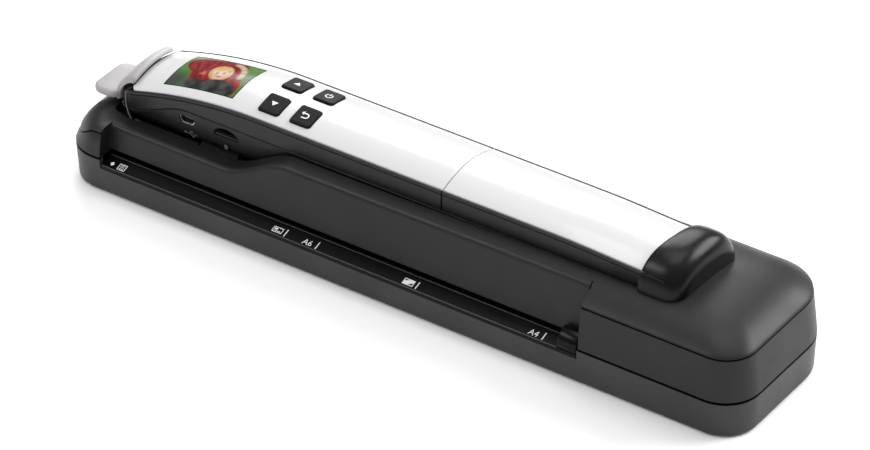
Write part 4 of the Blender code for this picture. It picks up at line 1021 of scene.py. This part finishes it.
def build_casings():
    keel = loft("wand_lower_casing", ended(keel_section, WAND_LEFT, WAND_RIGHT))
    wide = WAND_INSIDE_HALF
    inside = [(-13.6, 28.8), (13.6, 28.8), (wide, 32.2), (wide, OVERHEAD_Z), (-wide, OVERHEAD_Z),
              (-wide, 32.2)]
    boolean(keel, [plate("keel_hollow", [(y + WAND_Y, z) for y, z in inside], 'YZ', -134.6, 112.4),
                   floor_window("scan_glass", 0.3, 0.3),
                   plate("usb_opening", usb_outline(0.32), 'XZ', -30.0, -10.0),
                   box("card_opening", (CARD_LOW.x - 0.4, -30.0, CARD_LOW.z - 0.4),
                       (CARD_HIGH.x + 0.4, -10.0, CARD_HIGH.z + 0.25)),
                   plate("card_dip", card_dip_outline(*CARD_PLACE), 'XZ', SIDE_Y - 2.0, SIDE_Y + 1.2)]
            + [floor_window(node, 0.5, 0.4) for node in ("wand_wheel_left", "wand_wheel_right")])
    show(keel, CASING, "wand", "wand_base", angle=CASING_CREASE)

    upper = loft("wand_upper_casing", ended(casing_section, WAND_LEFT, SPLIT_LEFT))
    boolean(upper, [inner_block("upper_inside", -133.0, SPLIT_LEFT - 1.8),
                    panel_seat("panel_seat", cover_low.x - 0.2, SPLIT_LEFT + 3.0),
                    window_cutter("upper_window", -1.0)] + key_cutters("upper"))
    show(upper, CASING, "wand", "wand_frame", angle=CASING_CREASE)

    cover = top_panel("wand_top_panel", cover_low.x, SPLIT_LEFT)
    length = SPLIT_LEFT + 10.0 - cover_low.x
    plan = rounded_outline(length / 2, PANEL_HALF, 3.2, 8, (cover_low.x + length / 2, WAND_Y))
    boolean(cover, [plate("cover_plan", plan, 'XY', 20.0, 70.0)], 'INTERSECT')
    boolean(cover, [window_cutter("panel_window", 0.25)] + key_cutters("panel"))
    show(cover, GLOSS_WHITE, "wand", "wand_cover", angle=CASING_CREASE)

    door = loft("battery_door_casing", ended(casing_section, SPLIT_RIGHT, WAND_RIGHT))
    boolean(door, [inner_block("door_inside", SPLIT_RIGHT + 1.8, WAND_RIGHT - 2.0),
                   panel_seat("door_seat", SPLIT_RIGHT - 3.0, WAND_RIGHT - 1.0)])
    show(door, CASING, "wand", "battery_door", angle=CASING_CREASE)
    lid = top_panel("battery_door_top_panel", SPLIT_RIGHT, WAND_RIGHT - 1.2)
    show(lid, GLOSS_WHITE, "wand", "battery_door_panel", angle=CASING_CREASE)


END_CAP_EDGE = ((-136.9, 38.5), (-137.3, 35.0), (-136.9, 32.0), (-135.8, 29.2), (-134.2, 27.0),
                (-132.4, 25.4))


def build_end_cap():
    """Gloss cap round the wand's nose, below the belt line, with a curved edge and a light grey strip along
    it painted as the edge's highlight.
    """
    swollen = [keel_section(x, pull=-0.28) for x in wand_stations(WAND_LEFT, -131.0)]
    cap = loft("wand_end_cap", [keel_section(WAND_LEFT - 0.25)] + swollen)
    keep = [(-150.0, 20.0), (END_CAP_EDGE[-1][0], 20.0)] + list(reversed(END_CAP_EDGE)) + [(-150.0, 38.5)]
    boolean(cap, [plate("cap_side", keep, 'XZ', WAND_Y - 30.0, WAND_Y + 30.0)], 'INTERSECT')
    room = [keel_section(x, pull=0.1) for x in wand_stations(WAND_LEFT + 0.1, -128.0)]
    boolean(cap, [loft("cap_room", room)])
    show(cap, GLOSS_BLACK, "wand", angle=40.0)
    # Thin light grey tube along the cap's edge, painted as the cap's edge highlight.
    edge = []
    for x, z in END_CAP_EDGE:
        y = WAND_Y - wand_half(x) - 0.22
        edge.append([(x + a, y + b, z + a / 3.0) for a, b in ring_outline((0.0, 0.0), 0.3, 12)])
    show(loft("end_cap_highlight_strip", edge), END_CAP_HIGHLIGHT, "wand", angle=60.0)


def build_ports():
    sleeve = plate("usb_sleeve", usb_outline(0.2), 'XZ', USB_LOW.y, USB_HIGH.y)
    boolean(sleeve, [plate("usb_room", usb_outline(-0.12), 'XZ', USB_LOW.y - 1.0, USB_HIGH.y - 1.4)])
    show(sleeve, STEEL, "wand", "usb_port")
    x, z = USB_PLACE
    tongue = box("usb_tongue", (x - 2.2, USB_LOW.y + 0.9, z + 0.1), (x + 2.2, USB_HIGH.y - 1.5, z + 0.7))
    show(bevel(tongue, 0.12), GLOSS_BLACK, "wand")
    dip = [(x, z) for x, z in card_dip_outline(*CARD_PLACE) if z > CARD_HIGH.z + 0.6]
    # Near-black plate in the card dip, painted as the shade on the dip's floor.
    show(plate("card_dip_shade_floor", dip, 'XZ', SIDE_Y + 0.95, SIDE_Y + 1.3), GROOVE_SHADE, "wand")
    show(bevel(box("card_body", CARD_LOW, CARD_HIGH), 0.15), CARD_PLASTIC, "card", "memory_card")
    socket = box("card_holder", *span("card_socket"))
    boolean(socket, [box("card_room", (CARD_LOW.x - 0.2, -30.0, CARD_LOW.z - 0.2),
                         (CARD_HIGH.x + 0.2, CARD_HIGH.y + 0.8, CARD_HIGH.z + 0.25))])
    show(socket, STEEL, "wand", "card_socket")


def side_mark(name, outlines):
    """Print on the wand's near side, as a film 0.05 mm thick."""
    pieces = films(name, outlines, 'XZ', SIDE_Y - 0.03, SIDE_Y + 0.02)
    show(joined(name, pieces), GREY_INK, "wand")


def build_port_marks():
    x, z = USB_PLACE[0] + 2.2, USB_PLACE[1] - 5.4
    side_mark("usb_sign", [bar(x - 2.6, z - 0.14, x + 2.2, z + 0.14), ring_outline((x - 2.9, z), 0.5, 16),
                           [(x + 2.0, z - 0.5), (x + 3.1, z), (x + 2.0, z + 0.5)],
                           [(x - 1.2, z + 0.1), (x - 0.9, z + 0.1), (x + 0.1, z + 1.2), (x - 0.2, z + 1.2)],
                           bar(x - 0.1, z + 0.75, x + 0.9, z + 1.35),
                           [(x - 0.4, z - 0.1), (x - 0.1, z - 0.1), (x + 0.8, z - 1.1), (x + 0.5, z - 1.1)],
                           ring_outline((x + 1.1, z - 1.0), 0.42, 14)])
    x, z = CARD_PLACE[0], CARD_PLACE[1] - 5.0
    side_mark("card_sign", [[(x - 0.8, z - 0.5), (x + 0.8, z - 0.5), (x + 0.8, z + 1.0), (x + 0.3, z + 1.5),
                             (x - 0.8, z + 1.5)]])


# ---------------------------------------------------------------- screen picture

def soft_disc(u, v, centre, radii, turn=0.0, blur=0.08):
    """Smooth 0 to 1 mask of a turned ellipse on the picture's grid."""
    c, s = math.cos(math.radians(turn)), math.sin(math.radians(turn))
    du, dv = u - centre[0], v - centre[1]
    a, b = (c * du + s * dv) / radii[0], (-s * du + c * dv) / radii[1]
    reach = np.sqrt(a * a + b * b)
    return np.clip((1.0 + blur - reach) / (2.0 * blur), 0.0, 1.0)


def waves(u, v, scale, seed):
    """Soft irregular pattern between 0 and 1 from a few sines."""
    rng = np.random.default_rng(seed)
    total = np.zeros_like(u)
    for _ in range(9):
        turn, phase = rng.uniform(0.0, 2 * math.pi, 2)
        pace = scale * rng.uniform(0.6, 1.7)
        total += np.sin(pace * (u * math.cos(turn) + v * math.sin(turn)) + phase)
    return 0.5 + 0.5 * np.tanh(total / 3.0)


class Canvas:
    """Layers of colour painted over each other on a grid; u runs along X and v along Y, in millimetres."""

    def __init__(self, u, v):
        self.u, self.v = u, v
        self.rgb = np.zeros(u.shape + (3,))

    def lay(self, mask, colour, second=None, share=None):
        colour = np.array(colour) * np.ones(self.rgb.shape)
        if second is not None:
            colour = colour + (np.array(second) - colour) * share[..., None]
        self.rgb = self.rgb + (colour - self.rgb) * mask[..., None]

    def disc(self, centre, radii, colour, turn=0.0, blur=0.08, strength=1.0):
        self.lay(soft_disc(self.u, self.v, centre, radii, turn, blur) * strength, colour)

    def on_head(self, across, up, half_width, half_height, colour, blur, strength=1.0, tilt=0.0):
        """Soft ellipse placed in head units from the face's middle."""
        self.disc(at_head(across, up), (half_width, half_height), colour, HEAD_TURN + tilt, blur, strength)


def paint_meadow(canvas):
    u, v = canvas.u, canvas.v
    blades = waves(u * 2.4, v, 2.1, 11)
    depth = np.clip((v + 11.0) / 22.0, 0.0, 1.0)
    canvas.lay(np.ones_like(u), (0.065, 0.175, 0.026), (0.13, 0.34, 0.055), 0.5 * blades + 0.5 * depth)
    canvas.lay(0.35 * waves(u, v, 0.5, 12), (0.16, 0.32, 0.07))
    canvas.disc((-15.5, -8.0), (7.5, 5.0), (0.065, 0.075, 0.068), 0.0, 0.6, 0.95)
    canvas.disc((14.5, 1.0), (4.0, 4.5), (0.15, 0.20, 0.12), 0.0, 0.8, 0.7)
    canvas.disc((-12.0, 10.5), (6.0, 1.6), (0.20, 0.26, 0.17), 0.0, 0.8, 0.8)


JACKET_RED, JACKET_SHADE = (0.40, 0.010, 0.014), (0.13, 0.003, 0.006)


def paint_jacket(canvas):
    u, v = canvas.u, canvas.v
    folds = waves(u * 1.2 + 0.6 * v, v, 0.75, 21)
    body = np.maximum(soft_disc(u, v, (-6.5, 4.0), (9.2, 6.6), -12.0, 0.06),
                      soft_disc(u, v, (-3.6, -2.6), (6.0, 6.2), 16.0, 0.08))
    body = np.maximum(body, soft_disc(u, v, (2.4, 8.4), (8.4, 4.0), -6.0, 0.06))
    canvas.lay(body, JACKET_RED, JACKET_SHADE, folds)
    for x, y, tilt in ((-10.0, 2.6, 28.0), (-6.0, 4.0, -8.0), (-2.6, 6.0, 12.0), (-4.6, -3.4, 30.0)):
        canvas.disc((x, y), (0.45, 4.2), JACKET_SHADE, tilt, 0.9, 0.8)
        canvas.disc((x + 1.1, y + 0.6), (0.5, 3.2), (0.55, 0.035, 0.032), tilt, 0.9, 0.6)
    canvas.disc((-3.4, -1.4), (2.4, 1.2), (0.62, 0.20, 0.15), 20.0, 0.4, 0.9)


HEAD = (2.6, 0.2)
HEAD_TURN = 14.0


def at_head(across, up):
    """Picture place of a point given in head units from the face's middle."""
    turn = math.radians(HEAD_TURN)
    return (HEAD[0] + across * math.cos(turn) - up * math.sin(turn),
            HEAD[1] + across * math.sin(turn) + up * math.cos(turn))


def paint_hood_and_hair(canvas):
    canvas.on_head(0.9, 1.4, 7.3, 7.6, (0.37, 0.008, 0.012), 0.05)
    canvas.disc((11.2, -2.4), (2.7, 8.2), JACKET_RED, 27.0, 0.06)
    canvas.disc((10.2, -1.6), (0.8, 6.4), JACKET_SHADE, 27.0, 0.8, 0.8)
    canvas.on_head(0.5, 1.1, 5.7, 6.1, (0.14, 0.003, 0.006), 0.10)
    for k, centre in enumerate(arc((2.6, 0.6), 9.2, 78.0, -2.0, 8)):
        canvas.disc(centre, (1.25, 1.1), (0.66, 0.58, 0.40) if k % 2 else (0.54, 0.46, 0.30), 0.0, 0.45)
    canvas.on_head(0.1, 0.7, 5.0, 5.6, (0.60, 0.38, 0.13), 0.08)
    strands = waves(canvas.u * 3.4, canvas.v * 0.7, 1.5, 31)
    hair = soft_disc(canvas.u, canvas.v, at_head(0.1, 0.7), (4.8, 5.4), HEAD_TURN, 0.08)
    canvas.lay(hair * 0.8, (0.46, 0.27, 0.08), (0.86, 0.62, 0.28), strands)


EYE = 1.45


def paint_face(canvas):
    canvas.on_head(0.0, -0.4, 3.55, 4.35, (0.46, 0.23, 0.14), 0.08)
    canvas.on_head(0.0, -0.35, 3.4, 4.2, (0.80, 0.50, 0.35), 0.08)
    canvas.on_head(-0.9, 0.6, 2.1, 2.6, (0.90, 0.63, 0.47), 0.7, 0.7)
    for side in (-1, 1):
        canvas.on_head(side * 1.95, -1.35, 0.95, 0.75, (0.78, 0.36, 0.26), 0.8, 0.7)
        canvas.on_head(side * EYE, -0.05, 0.92, 0.56, (0.52, 0.28, 0.18), 0.5, 0.9)
        canvas.on_head(side * EYE, -0.1, 0.72, 0.38, (0.86, 0.84, 0.80), 0.25)
        canvas.on_head(side * EYE, -0.1, 0.40, 0.38, (0.06, 0.04, 0.03), 0.3)
        canvas.on_head(side * EYE - 0.1, 0.04, 0.10, 0.10, (0.95, 0.95, 0.95), 0.4)
        canvas.on_head(side * EYE, 0.30, 0.84, 0.17, (0.20, 0.10, 0.06), 0.5, 0.9)
        canvas.on_head(side * 1.5, 1.02, 0.95, 0.22, (0.36, 0.20, 0.08), 0.6, 0.9, side * -6.0)
        canvas.on_head(side * 0.32, -1.42, 0.17, 0.12, (0.48, 0.22, 0.15), 0.6, 0.8)
    canvas.on_head(0.0, -0.7, 0.24, 0.95, (0.93, 0.68, 0.52), 0.9, 0.6)
    canvas.on_head(0.0, -1.28, 0.50, 0.34, (0.88, 0.58, 0.43), 0.6, 0.7)
    canvas.on_head(0.0, -2.28, 1.12, 0.42, (0.58, 0.15, 0.13), 0.35)
    canvas.on_head(0.0, -2.26, 1.12, 0.10, (0.25, 0.06, 0.06), 0.6, 0.9)
    canvas.on_head(0.0, -2.95, 0.8, 0.16, (0.58, 0.33, 0.23), 0.9, 0.5)
    canvas.on_head(0.0, 3.5, 3.6, 1.25, (0.78, 0.53, 0.22), 0.25)
    canvas.on_head(-1.2, 3.1, 1.7, 0.8, (0.66, 0.42, 0.15), 0.4, 0.8, 14.0)


def paint_knit(canvas):
    u, v = canvas.u, canvas.v
    rows = 0.5 + 0.5 * np.sin(u * 5.2 + 1.3 * np.sin(v * 3.1)) * np.sin(v * 5.6)
    scarf = np.maximum(soft_disc(u, v, (7.4, -8.0), (8.0, 4.4), -4.0, 0.07),
                       soft_disc(u, v, (-3.2, -8.6), (6.0, 3.0), -4.0, 0.16))
    canvas.lay(scarf, (0.016, 0.017, 0.018), (0.15, 0.155, 0.155), rows * waves(u, v, 1.1, 41))


PICTURE_EXPOSURE = 0.56


def build_screen():
    step = 0.14
    low, high = window_low, window_high
    xs = np.array(between(low.x + 0.01, high.x - 0.01, step))
    ys = np.array(between(low.y + 0.01, high.y - 0.01, step))
    lift = -0.15
    bm = bmesh.new()
    grid = [[bm.verts.new((x, y, wand_top(x, abs(y - WAND_Y)) + lift)) for y in ys] for x in xs]
    for near, far in zip(grid, grid[1:]):
        for k in range(len(ys) - 1):
            bm.faces.new((near[k], far[k], far[k + 1], near[k + 1]))
    border = [e for e in bm.edges if e.is_boundary]
    sunk = bmesh.ops.extrude_edge_only(bm, edges=border)["geom"]
    for vert in [g for g in sunk if isinstance(g, bmesh.types.BMVert)]:
        vert.co.z -= 1.3
    bmesh.ops.contextual_create(bm, geom=[e for e in bm.edges if e.is_boundary])
    window = add_object("screen_glass_and_picture", bm)
    u, v = np.meshgrid(xs - (low.x + high.x) / 2, ys - (low.y + high.y) / 2, indexing='ij')
    canvas = Canvas(u, v)
    for layer in (paint_meadow, paint_jacket, paint_hood_and_hair, paint_face, paint_knit):
        layer(canvas)
    frame_gap = np.minimum((high.x - low.x) / 2 - np.abs(u), (high.y - low.y) / 2 - np.abs(v))
    canvas.lay(np.clip((0.45 - frame_gap) / 0.2, 0.0, 1.0), (0.012, 0.012, 0.013))
    flat = canvas.rgb.reshape(-1, 3) * PICTURE_EXPOSURE
    colours = np.ones((len(window.data.vertices), 4), np.float32)
    colours[:, :3] = 0.012
    colours[:len(flat), :3] = flat
    layer = window.data.color_attributes.new("picture", 'FLOAT_COLOR', 'POINT')
    layer.data.foreach_set("color", colours.ravel())
    shade_smooth(window.data, 40.0)
    window.data.materials.append(PICTURE)
    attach(window, "wand")
    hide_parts("screen_window")


# ---------------------------------------------------------------- entry strip, guide and their marks

STRIP_FALL = (strip_high.z - 13.1) / (strip_high.y - strip_low.y)


def strip_height(y):
    return 13.1 + STRIP_FALL * (y - strip_low.y)


def build_strip():
    front, back, under = strip_low.y, strip_high.y, strip_low.z
    outline = [(front, under), (back, under), (back, strip_high.z - 0.12), (back - 0.12, strip_high.z)]
    outline += [(front + 0.75, strip_height(front + 0.75)), (front + 0.68, strip_height(front) - 0.1),
                (front + 0.50, strip_height(front) - 0.1), (front + 0.42, strip_height(front) + 0.06),
                (front + 0.16, strip_height(front) + 0.02), (front, strip_height(front) - 0.2)]
    strip = plate("entry_strip", outline, 'YZ', strip_low.x, strip_high.x)
    show(strip, STRIP_BLACK, "dock", "feed_strip", angle=20.0)
    # Thin grey ribs along the strip's front and back edges, painted as highlight lines.
    for label, low_y, high_y in (("front", front + 0.16, front + 0.5), ("back", back - 0.42, back - 0.12)):
        rib = [(low_y, strip_height(low_y) - 0.3), (high_y, strip_height(high_y) - 0.3),
               (high_y, strip_height(high_y) + 0.07), (low_y, strip_height(low_y) + 0.07)]
        show(plate(f"strip_{label}_rib", rib, 'YZ', strip_low.x + 0.3, guide_low.x - 0.3), STRIP_EDGE_HIGHLIGHT, "dock")


def build_guide():
    foot, back = guide_low.z, guide_high.y
    radius = 5.2
    outline = [(guide_low.y, foot), (back, foot + 0.5), (back, guide_high.z)]
    outline += arc((guide_low.y + radius, guide_high.z - radius), radius, 90.0, 180.0, 10)
    guide = plate("paper_guide", outline, 'YZ', guide_low.x, guide_high.x)
    bevel(guide, 0.7, 3, 50.0)
    show(guide, STRIP_BLACK, "dock", "edge_guide", angle=40.0)


def strip_mark(name, outlines):
    """White print lying on the entry strip, following its slope."""
    mark = joined(name, films(name, outlines, 'XY', -0.02, 0.035))
    for vert in mark.data.vertices:
        vert.co.z += strip_height(vert.co.y / MM) * MM
    show(mark, WHITE_INK, "dock", angle=60.0)


def letters(name, text, x, y, size):
    """Paper size letters as flat print."""
    curve = bpy.data.curves.new(name + "_curve", 'FONT')
    curve.body = text
    curve.size = size * MM
    curve.extrude = 0.03 * MM
    curve.resolution_u = 3
    temp = bpy.data.objects.new(name + "_text", curve)
    bpy.context.scene.collection.objects.link(temp)
    bpy.context.view_layer.update()
    mesh = bpy.data.meshes.new_from_object(temp.evaluated_get(bpy.context.evaluated_depsgraph_get()))
    bpy.data.objects.remove(temp, do_unlink=True)
    mark = bpy.data.objects.new(name, mesh)
    bpy.context.scene.collection.objects.link(mark)
    for vert in mesh.vertices:
        px, py = vert.co.x / MM + x, vert.co.y / MM + y
        vert.co = Vector((px, py, strip_height(py) + 0.01 + vert.co.z / MM)) * MM
    show(mark, WHITE_INK, "dock", angle=60.0)


MARK_FRONT, MARK_BACK = strip_low.y + 0.9, strip_high.y - 2.3
LEFT_STOP = NOTCH_LEFT - 0.9
CARD_WIDTH, A6_WIDTH, PHOTO_WIDTH, A4_WIDTH = 90.0, 105.0, 152.0, 210.0


def frame_outline(x0, y0, x1, y1, line):
    return [bar(x0, y0, x1, y0 + line), bar(x0, y1 - line, x1, y1), bar(x0, y0, x0 + line, y1),
            bar(x1 - line, y0, x1, y1)]


def build_strip_marks():
    y = (MARK_FRONT + MARK_BACK) / 2
    for name, width in (("card", CARD_WIDTH), ("a6", A6_WIDTH), ("photo", PHOTO_WIDTH), ("a4", A4_WIDTH)):
        x = LEFT_STOP + width
        strip_mark(f"{name}_tick", [bar(x - 0.22, MARK_FRONT, x + 0.22, MARK_BACK)])
    for name, text, width in (("a6_letters", "A6", A6_WIDTH), ("a4_letters", "A4", A4_WIDTH)):
        letters(name, text, LEFT_STOP + width - 6.6, MARK_FRONT + 0.25, 3.7)
    x = LEFT_STOP + CARD_WIDTH - 6.2
    lines = [bar(x + 0.7, y - 0.1, x + 2.2, y + 0.7), bar(x + 0.7, y - 0.7, x + 3.9, y - 0.45)]
    strip_mark("card_icon", frame_outline(x, y - 1.3, x + 4.6, y + 1.3, 0.3) + lines)
    x = LEFT_STOP + PHOTO_WIDTH - 6.4
    hill = [(x + a, y + b)
            for a, b in ((0.2, -1.2), (2.2, -1.2), (4.6, 0.3), (4.6, 1.2), (2.6, 1.2), (0.2, 0.1))]
    strip_mark("photo_icon", frame_outline(x, y - 1.4, x + 4.8, y + 1.4, 0.35) + [hill])
    x = LEFT_STOP + 5.2
    strip_mark("start_dot", [[(x - 1.0, y), (x, y - 1.0), (x + 1.0, y), (x, y + 1.0)]])
    x += 3.0
    lines = [bar(x + 0.8, y + row - 0.12, x + 2.8, y + row + 0.12) for row in (-0.75, 0.0, 0.75)]
    strip_mark("sheet_icon", frame_outline(x, y - 1.5, x + 3.6, y + 1.5, 0.3) + lines)


# ---------------------------------------------------------------- latch

TAB_LOW = 33.0
TAB_PROFILE = ((1.2, 0.0), (0.5, 0.2), (0.12, 0.6), (0.0, 1.2), (0.0, 2.2), (0.12, 2.8), (0.5, 3.2),
               (1.2, 3.4))
HOOK_NEAR, HOOK_FAR = -15.2, 10.6
BARREL_HALF = 5.6


def latch_gap(angle, offset, gap):
    """Point of the hook's skin this far off the wand's nose."""
    crest = wand_top(NOSE_START, 0.0) - offset ** 2 / (2.0 * CROWN_R)
    run = NOSE_START - WAND_LEFT + gap
    return (NOSE_START - run * math.cos(angle), WAND_Y + offset, NOSE_FOOT_Z + (crest - NOSE_FOOT_Z + gap)
            * math.sin(angle))


def hook_section(offset):
    """Cross-section of the hook at this distance from the wand's centre line."""
    inner_gap, outer_gap = 0.95, 3.55
    share = abs(offset - (HOOK_NEAR + HOOK_FAR) / 2) / ((HOOK_FAR - HOOK_NEAR) / 2)
    thin = 0.95 * max(0.0, (share - 0.90) / 0.10) ** 2
    start, end = math.radians(4.0), math.radians(80.0 - 3.0 * max(0.0, (share - 0.9) / 0.1) ** 2)
    steps = 16
    loop = [latch_gap(mix(start, end, k / steps), offset, inner_gap + thin * 0.6) for k in range(steps + 1)]
    tip_turns = [math.pi * k / 6 for k in range(1, 6)]
    middle_gap, half_gap = (inner_gap + outer_gap) / 2, (outer_gap - inner_gap) / 2
    for turn in tip_turns:
        gap = middle_gap - half_gap * math.cos(turn)
        loop.append(latch_gap(end + 0.10 * math.sin(turn), offset, gap))
    loop += [latch_gap(mix(end, start, k / steps), offset, outer_gap - thin) for k in range(steps + 1)]
    return loop


def build_latch():
    shares = [0.5 + 0.5 * math.sin(math.pi / 2 * k / 14) for k in range(-14, 15)]
    hook = loft("release_latch", [hook_section(mix(HOOK_NEAR, HOOK_FAR, share)) for share in shares])
    sections = []
    for inset, rise in TAB_PROFILE:
        outline = rounded_outline(6.2 - inset, 10.6 - inset, 4.2 - inset, 10, (-148.4, WAND_Y - 7.25))
        sections.append(level(outline, TAB_LOW + rise))
    tab = loft("latch_tab", sections)
    neck = box("latch_neck", (-146.2, WAND_Y - 12.6, TAB_LOW + 0.2), (-141.9, WAND_Y + 8.6, TAB_LOW + 3.0))
    near, far = PIVOT.y - BARREL_HALF, PIVOT.y + BARREL_HALF
    stem = box("latch_stem", (PIVOT.x - 1.4, near, 7.0), (PIVOT.x + 1.4, far, TAB_LOW + 1.4))
    barrel = rod("latch_barrel", PIVOT.xz, 2.9, near, far, 32, 'XZ')
    boolean(hook, [tab, bevel(neck, 0.9), bevel(stem, 0.4), barrel], 'UNION')
    boolean(hook, [rod("latch_bore", PIVOT.xz, 1.23, PIVOT.y - 15.0, PIVOT.y + 15.0, 24, 'XZ')])
    show(hook, LATCH_PLASTIC, "latch", "latch_lever", angle=42.0)


# ---------------------------------------------------------------- carried-over nodes

def dress_cad_nodes():
    """Every CAD node still shown gets its slot's material and its round faces shaded smooth; the paper bed
    instead gets the entry strip's darker black, painted as the shade under the wand.
    """
    for part in frame["record"]["subparts"]:
        node = frame["nodes"][part["node"]]
        node.data.materials.clear()
        slot_look = SLOT_MATERIAL[part["material_slot"]]
        # The paper bed gets a darker black in place of its slot's look, painted as the shade under the wand.
        node.data.materials.append(STRIP_BLACK if part["node"] == "paper_bed" else slot_look)
        shade_smooth(node.data)


# ---------------------------------------------------------------- studio

def build_floor():
    bm = bmesh.new()
    bmesh.ops.create_grid(bm, x_segments=2, y_segments=2, size=6000.0)
    floor = add_object("studio_floor", bm)
    n = Nodes("studio_floor")
    paper = n.tone(n.noise(400.0, 2.0), (0.95, 0.95, 0.95), (0.97, 0.97, 0.97))
    floor.data.materials.append(n.surface({"Base Color": paper, "Roughness": 0.6, "Specular IOR Level": 0.2}))


def area_light(name, place, target, size, power):
    data = bpy.data.lights.new(name, 'AREA')
    data.shape = 'RECTANGLE'
    data.size, data.size_y = size
    data.energy = power
    lamp = bpy.data.objects.new(name, data)
    lamp.location = place
    lamp.rotation_euler = (Vector(target) - Vector(place)).to_track_quat('-Z', 'Y').to_euler()
    bpy.context.scene.collection.objects.link(lamp)
    return lamp


WORLD_STRENGTH = 0.84
LIGHT_DISTANCE = 1.9
SOFTBOXES = (("rear_softbox", (0.48, 0.67, 0.57), (1.3, 0.9), 38.0),
             ("front_left_softbox", (-0.47, -0.55, 0.65), (0.9, 0.6), 10.0),
             ("rear_left_softbox", (-0.47, 0.67, 0.57), (0.9, 0.9), 13.0),
             ("top_softbox", (-0.05, 0.12, 1.0), (1.2, 1.2), 12.0))


def build_lights():
    world = bpy.data.worlds.new("studio")
    bpy.context.scene.world = world
    world.use_nodes = True
    nodes, links = world.node_tree.nodes, world.node_tree.links
    sky = nodes.new("ShaderNodeTexCoord")
    split = nodes.new("ShaderNodeSeparateXYZ")
    links.new(sky.outputs["Generated"], split.inputs[0])
    grade = nodes.new("ShaderNodeValToRGB")
    grade.color_ramp.elements[0].position = 0.0
    grade.color_ramp.elements[0].color = (0.26, 0.26, 0.26, 1.0)
    grade.color_ramp.elements[1].position = 0.8
    grade.color_ramp.elements[1].color = (0.84, 0.84, 0.84, 1.0)
    links.new(split.outputs[2], grade.inputs[0])
    background = nodes["Background"]
    links.new(grade.outputs[0], background.inputs["Color"])
    background.inputs["Strength"].default_value = WORLD_STRENGTH
    for name, direction, size, power in SOFTBOXES:
        place = Vector(direction).normalized() * LIGHT_DISTANCE
        area_light(name, place, (0.0, 0.0, 0.03), size, power)


CAMERA_PLACE = (0.91085, -1.28959, 1.12295)
CAMERA_AZIMUTH = 35.3
CAMERA_ELEVATION = 34.99
CAMERA_ROLL = -0.69
CAMERA_LENS = 206.9


def build_camera():
    data = bpy.data.cameras.new("photo_view")
    data.lens = CAMERA_LENS
    data.sensor_width = 36.0
    data.clip_start, data.clip_end = 0.1, 30.0
    camera = bpy.data.objects.new("photo_view", data)
    a, e = math.radians(CAMERA_AZIMUTH), math.radians(CAMERA_ELEVATION)
    back = Vector((math.sin(a) * math.cos(e), -math.cos(a) * math.cos(e), math.sin(e)))
    right = Vector((math.cos(a), math.sin(a), 0.0))
    up = back.cross(right)
    roll = math.radians(CAMERA_ROLL)
    axis_x = right * math.cos(roll) + up * math.sin(roll)
    axis_y = up * math.cos(roll) - right * math.sin(roll)
    turn = Matrix((axis_x, axis_y, back)).transposed()
    camera.matrix_world = Matrix.Translation(CAMERA_PLACE) @ turn.to_4x4()
    bpy.context.scene.collection.objects.link(camera)
    bpy.context.scene.camera = camera


dress_cad_nodes()
build_upper_housing()
build_lower_housing()
build_groove_shade_bands()
build_hood()
build_casings()
build_end_cap()
build_ports()
build_port_marks()
build_keys()
build_key_signs()
build_screen()
build_strip()
build_guide()
build_strip_marks()
build_latch()
build_floor()
build_lights()
build_camera()
bpy.context.scene.view_settings.view_transform = 'Standard'
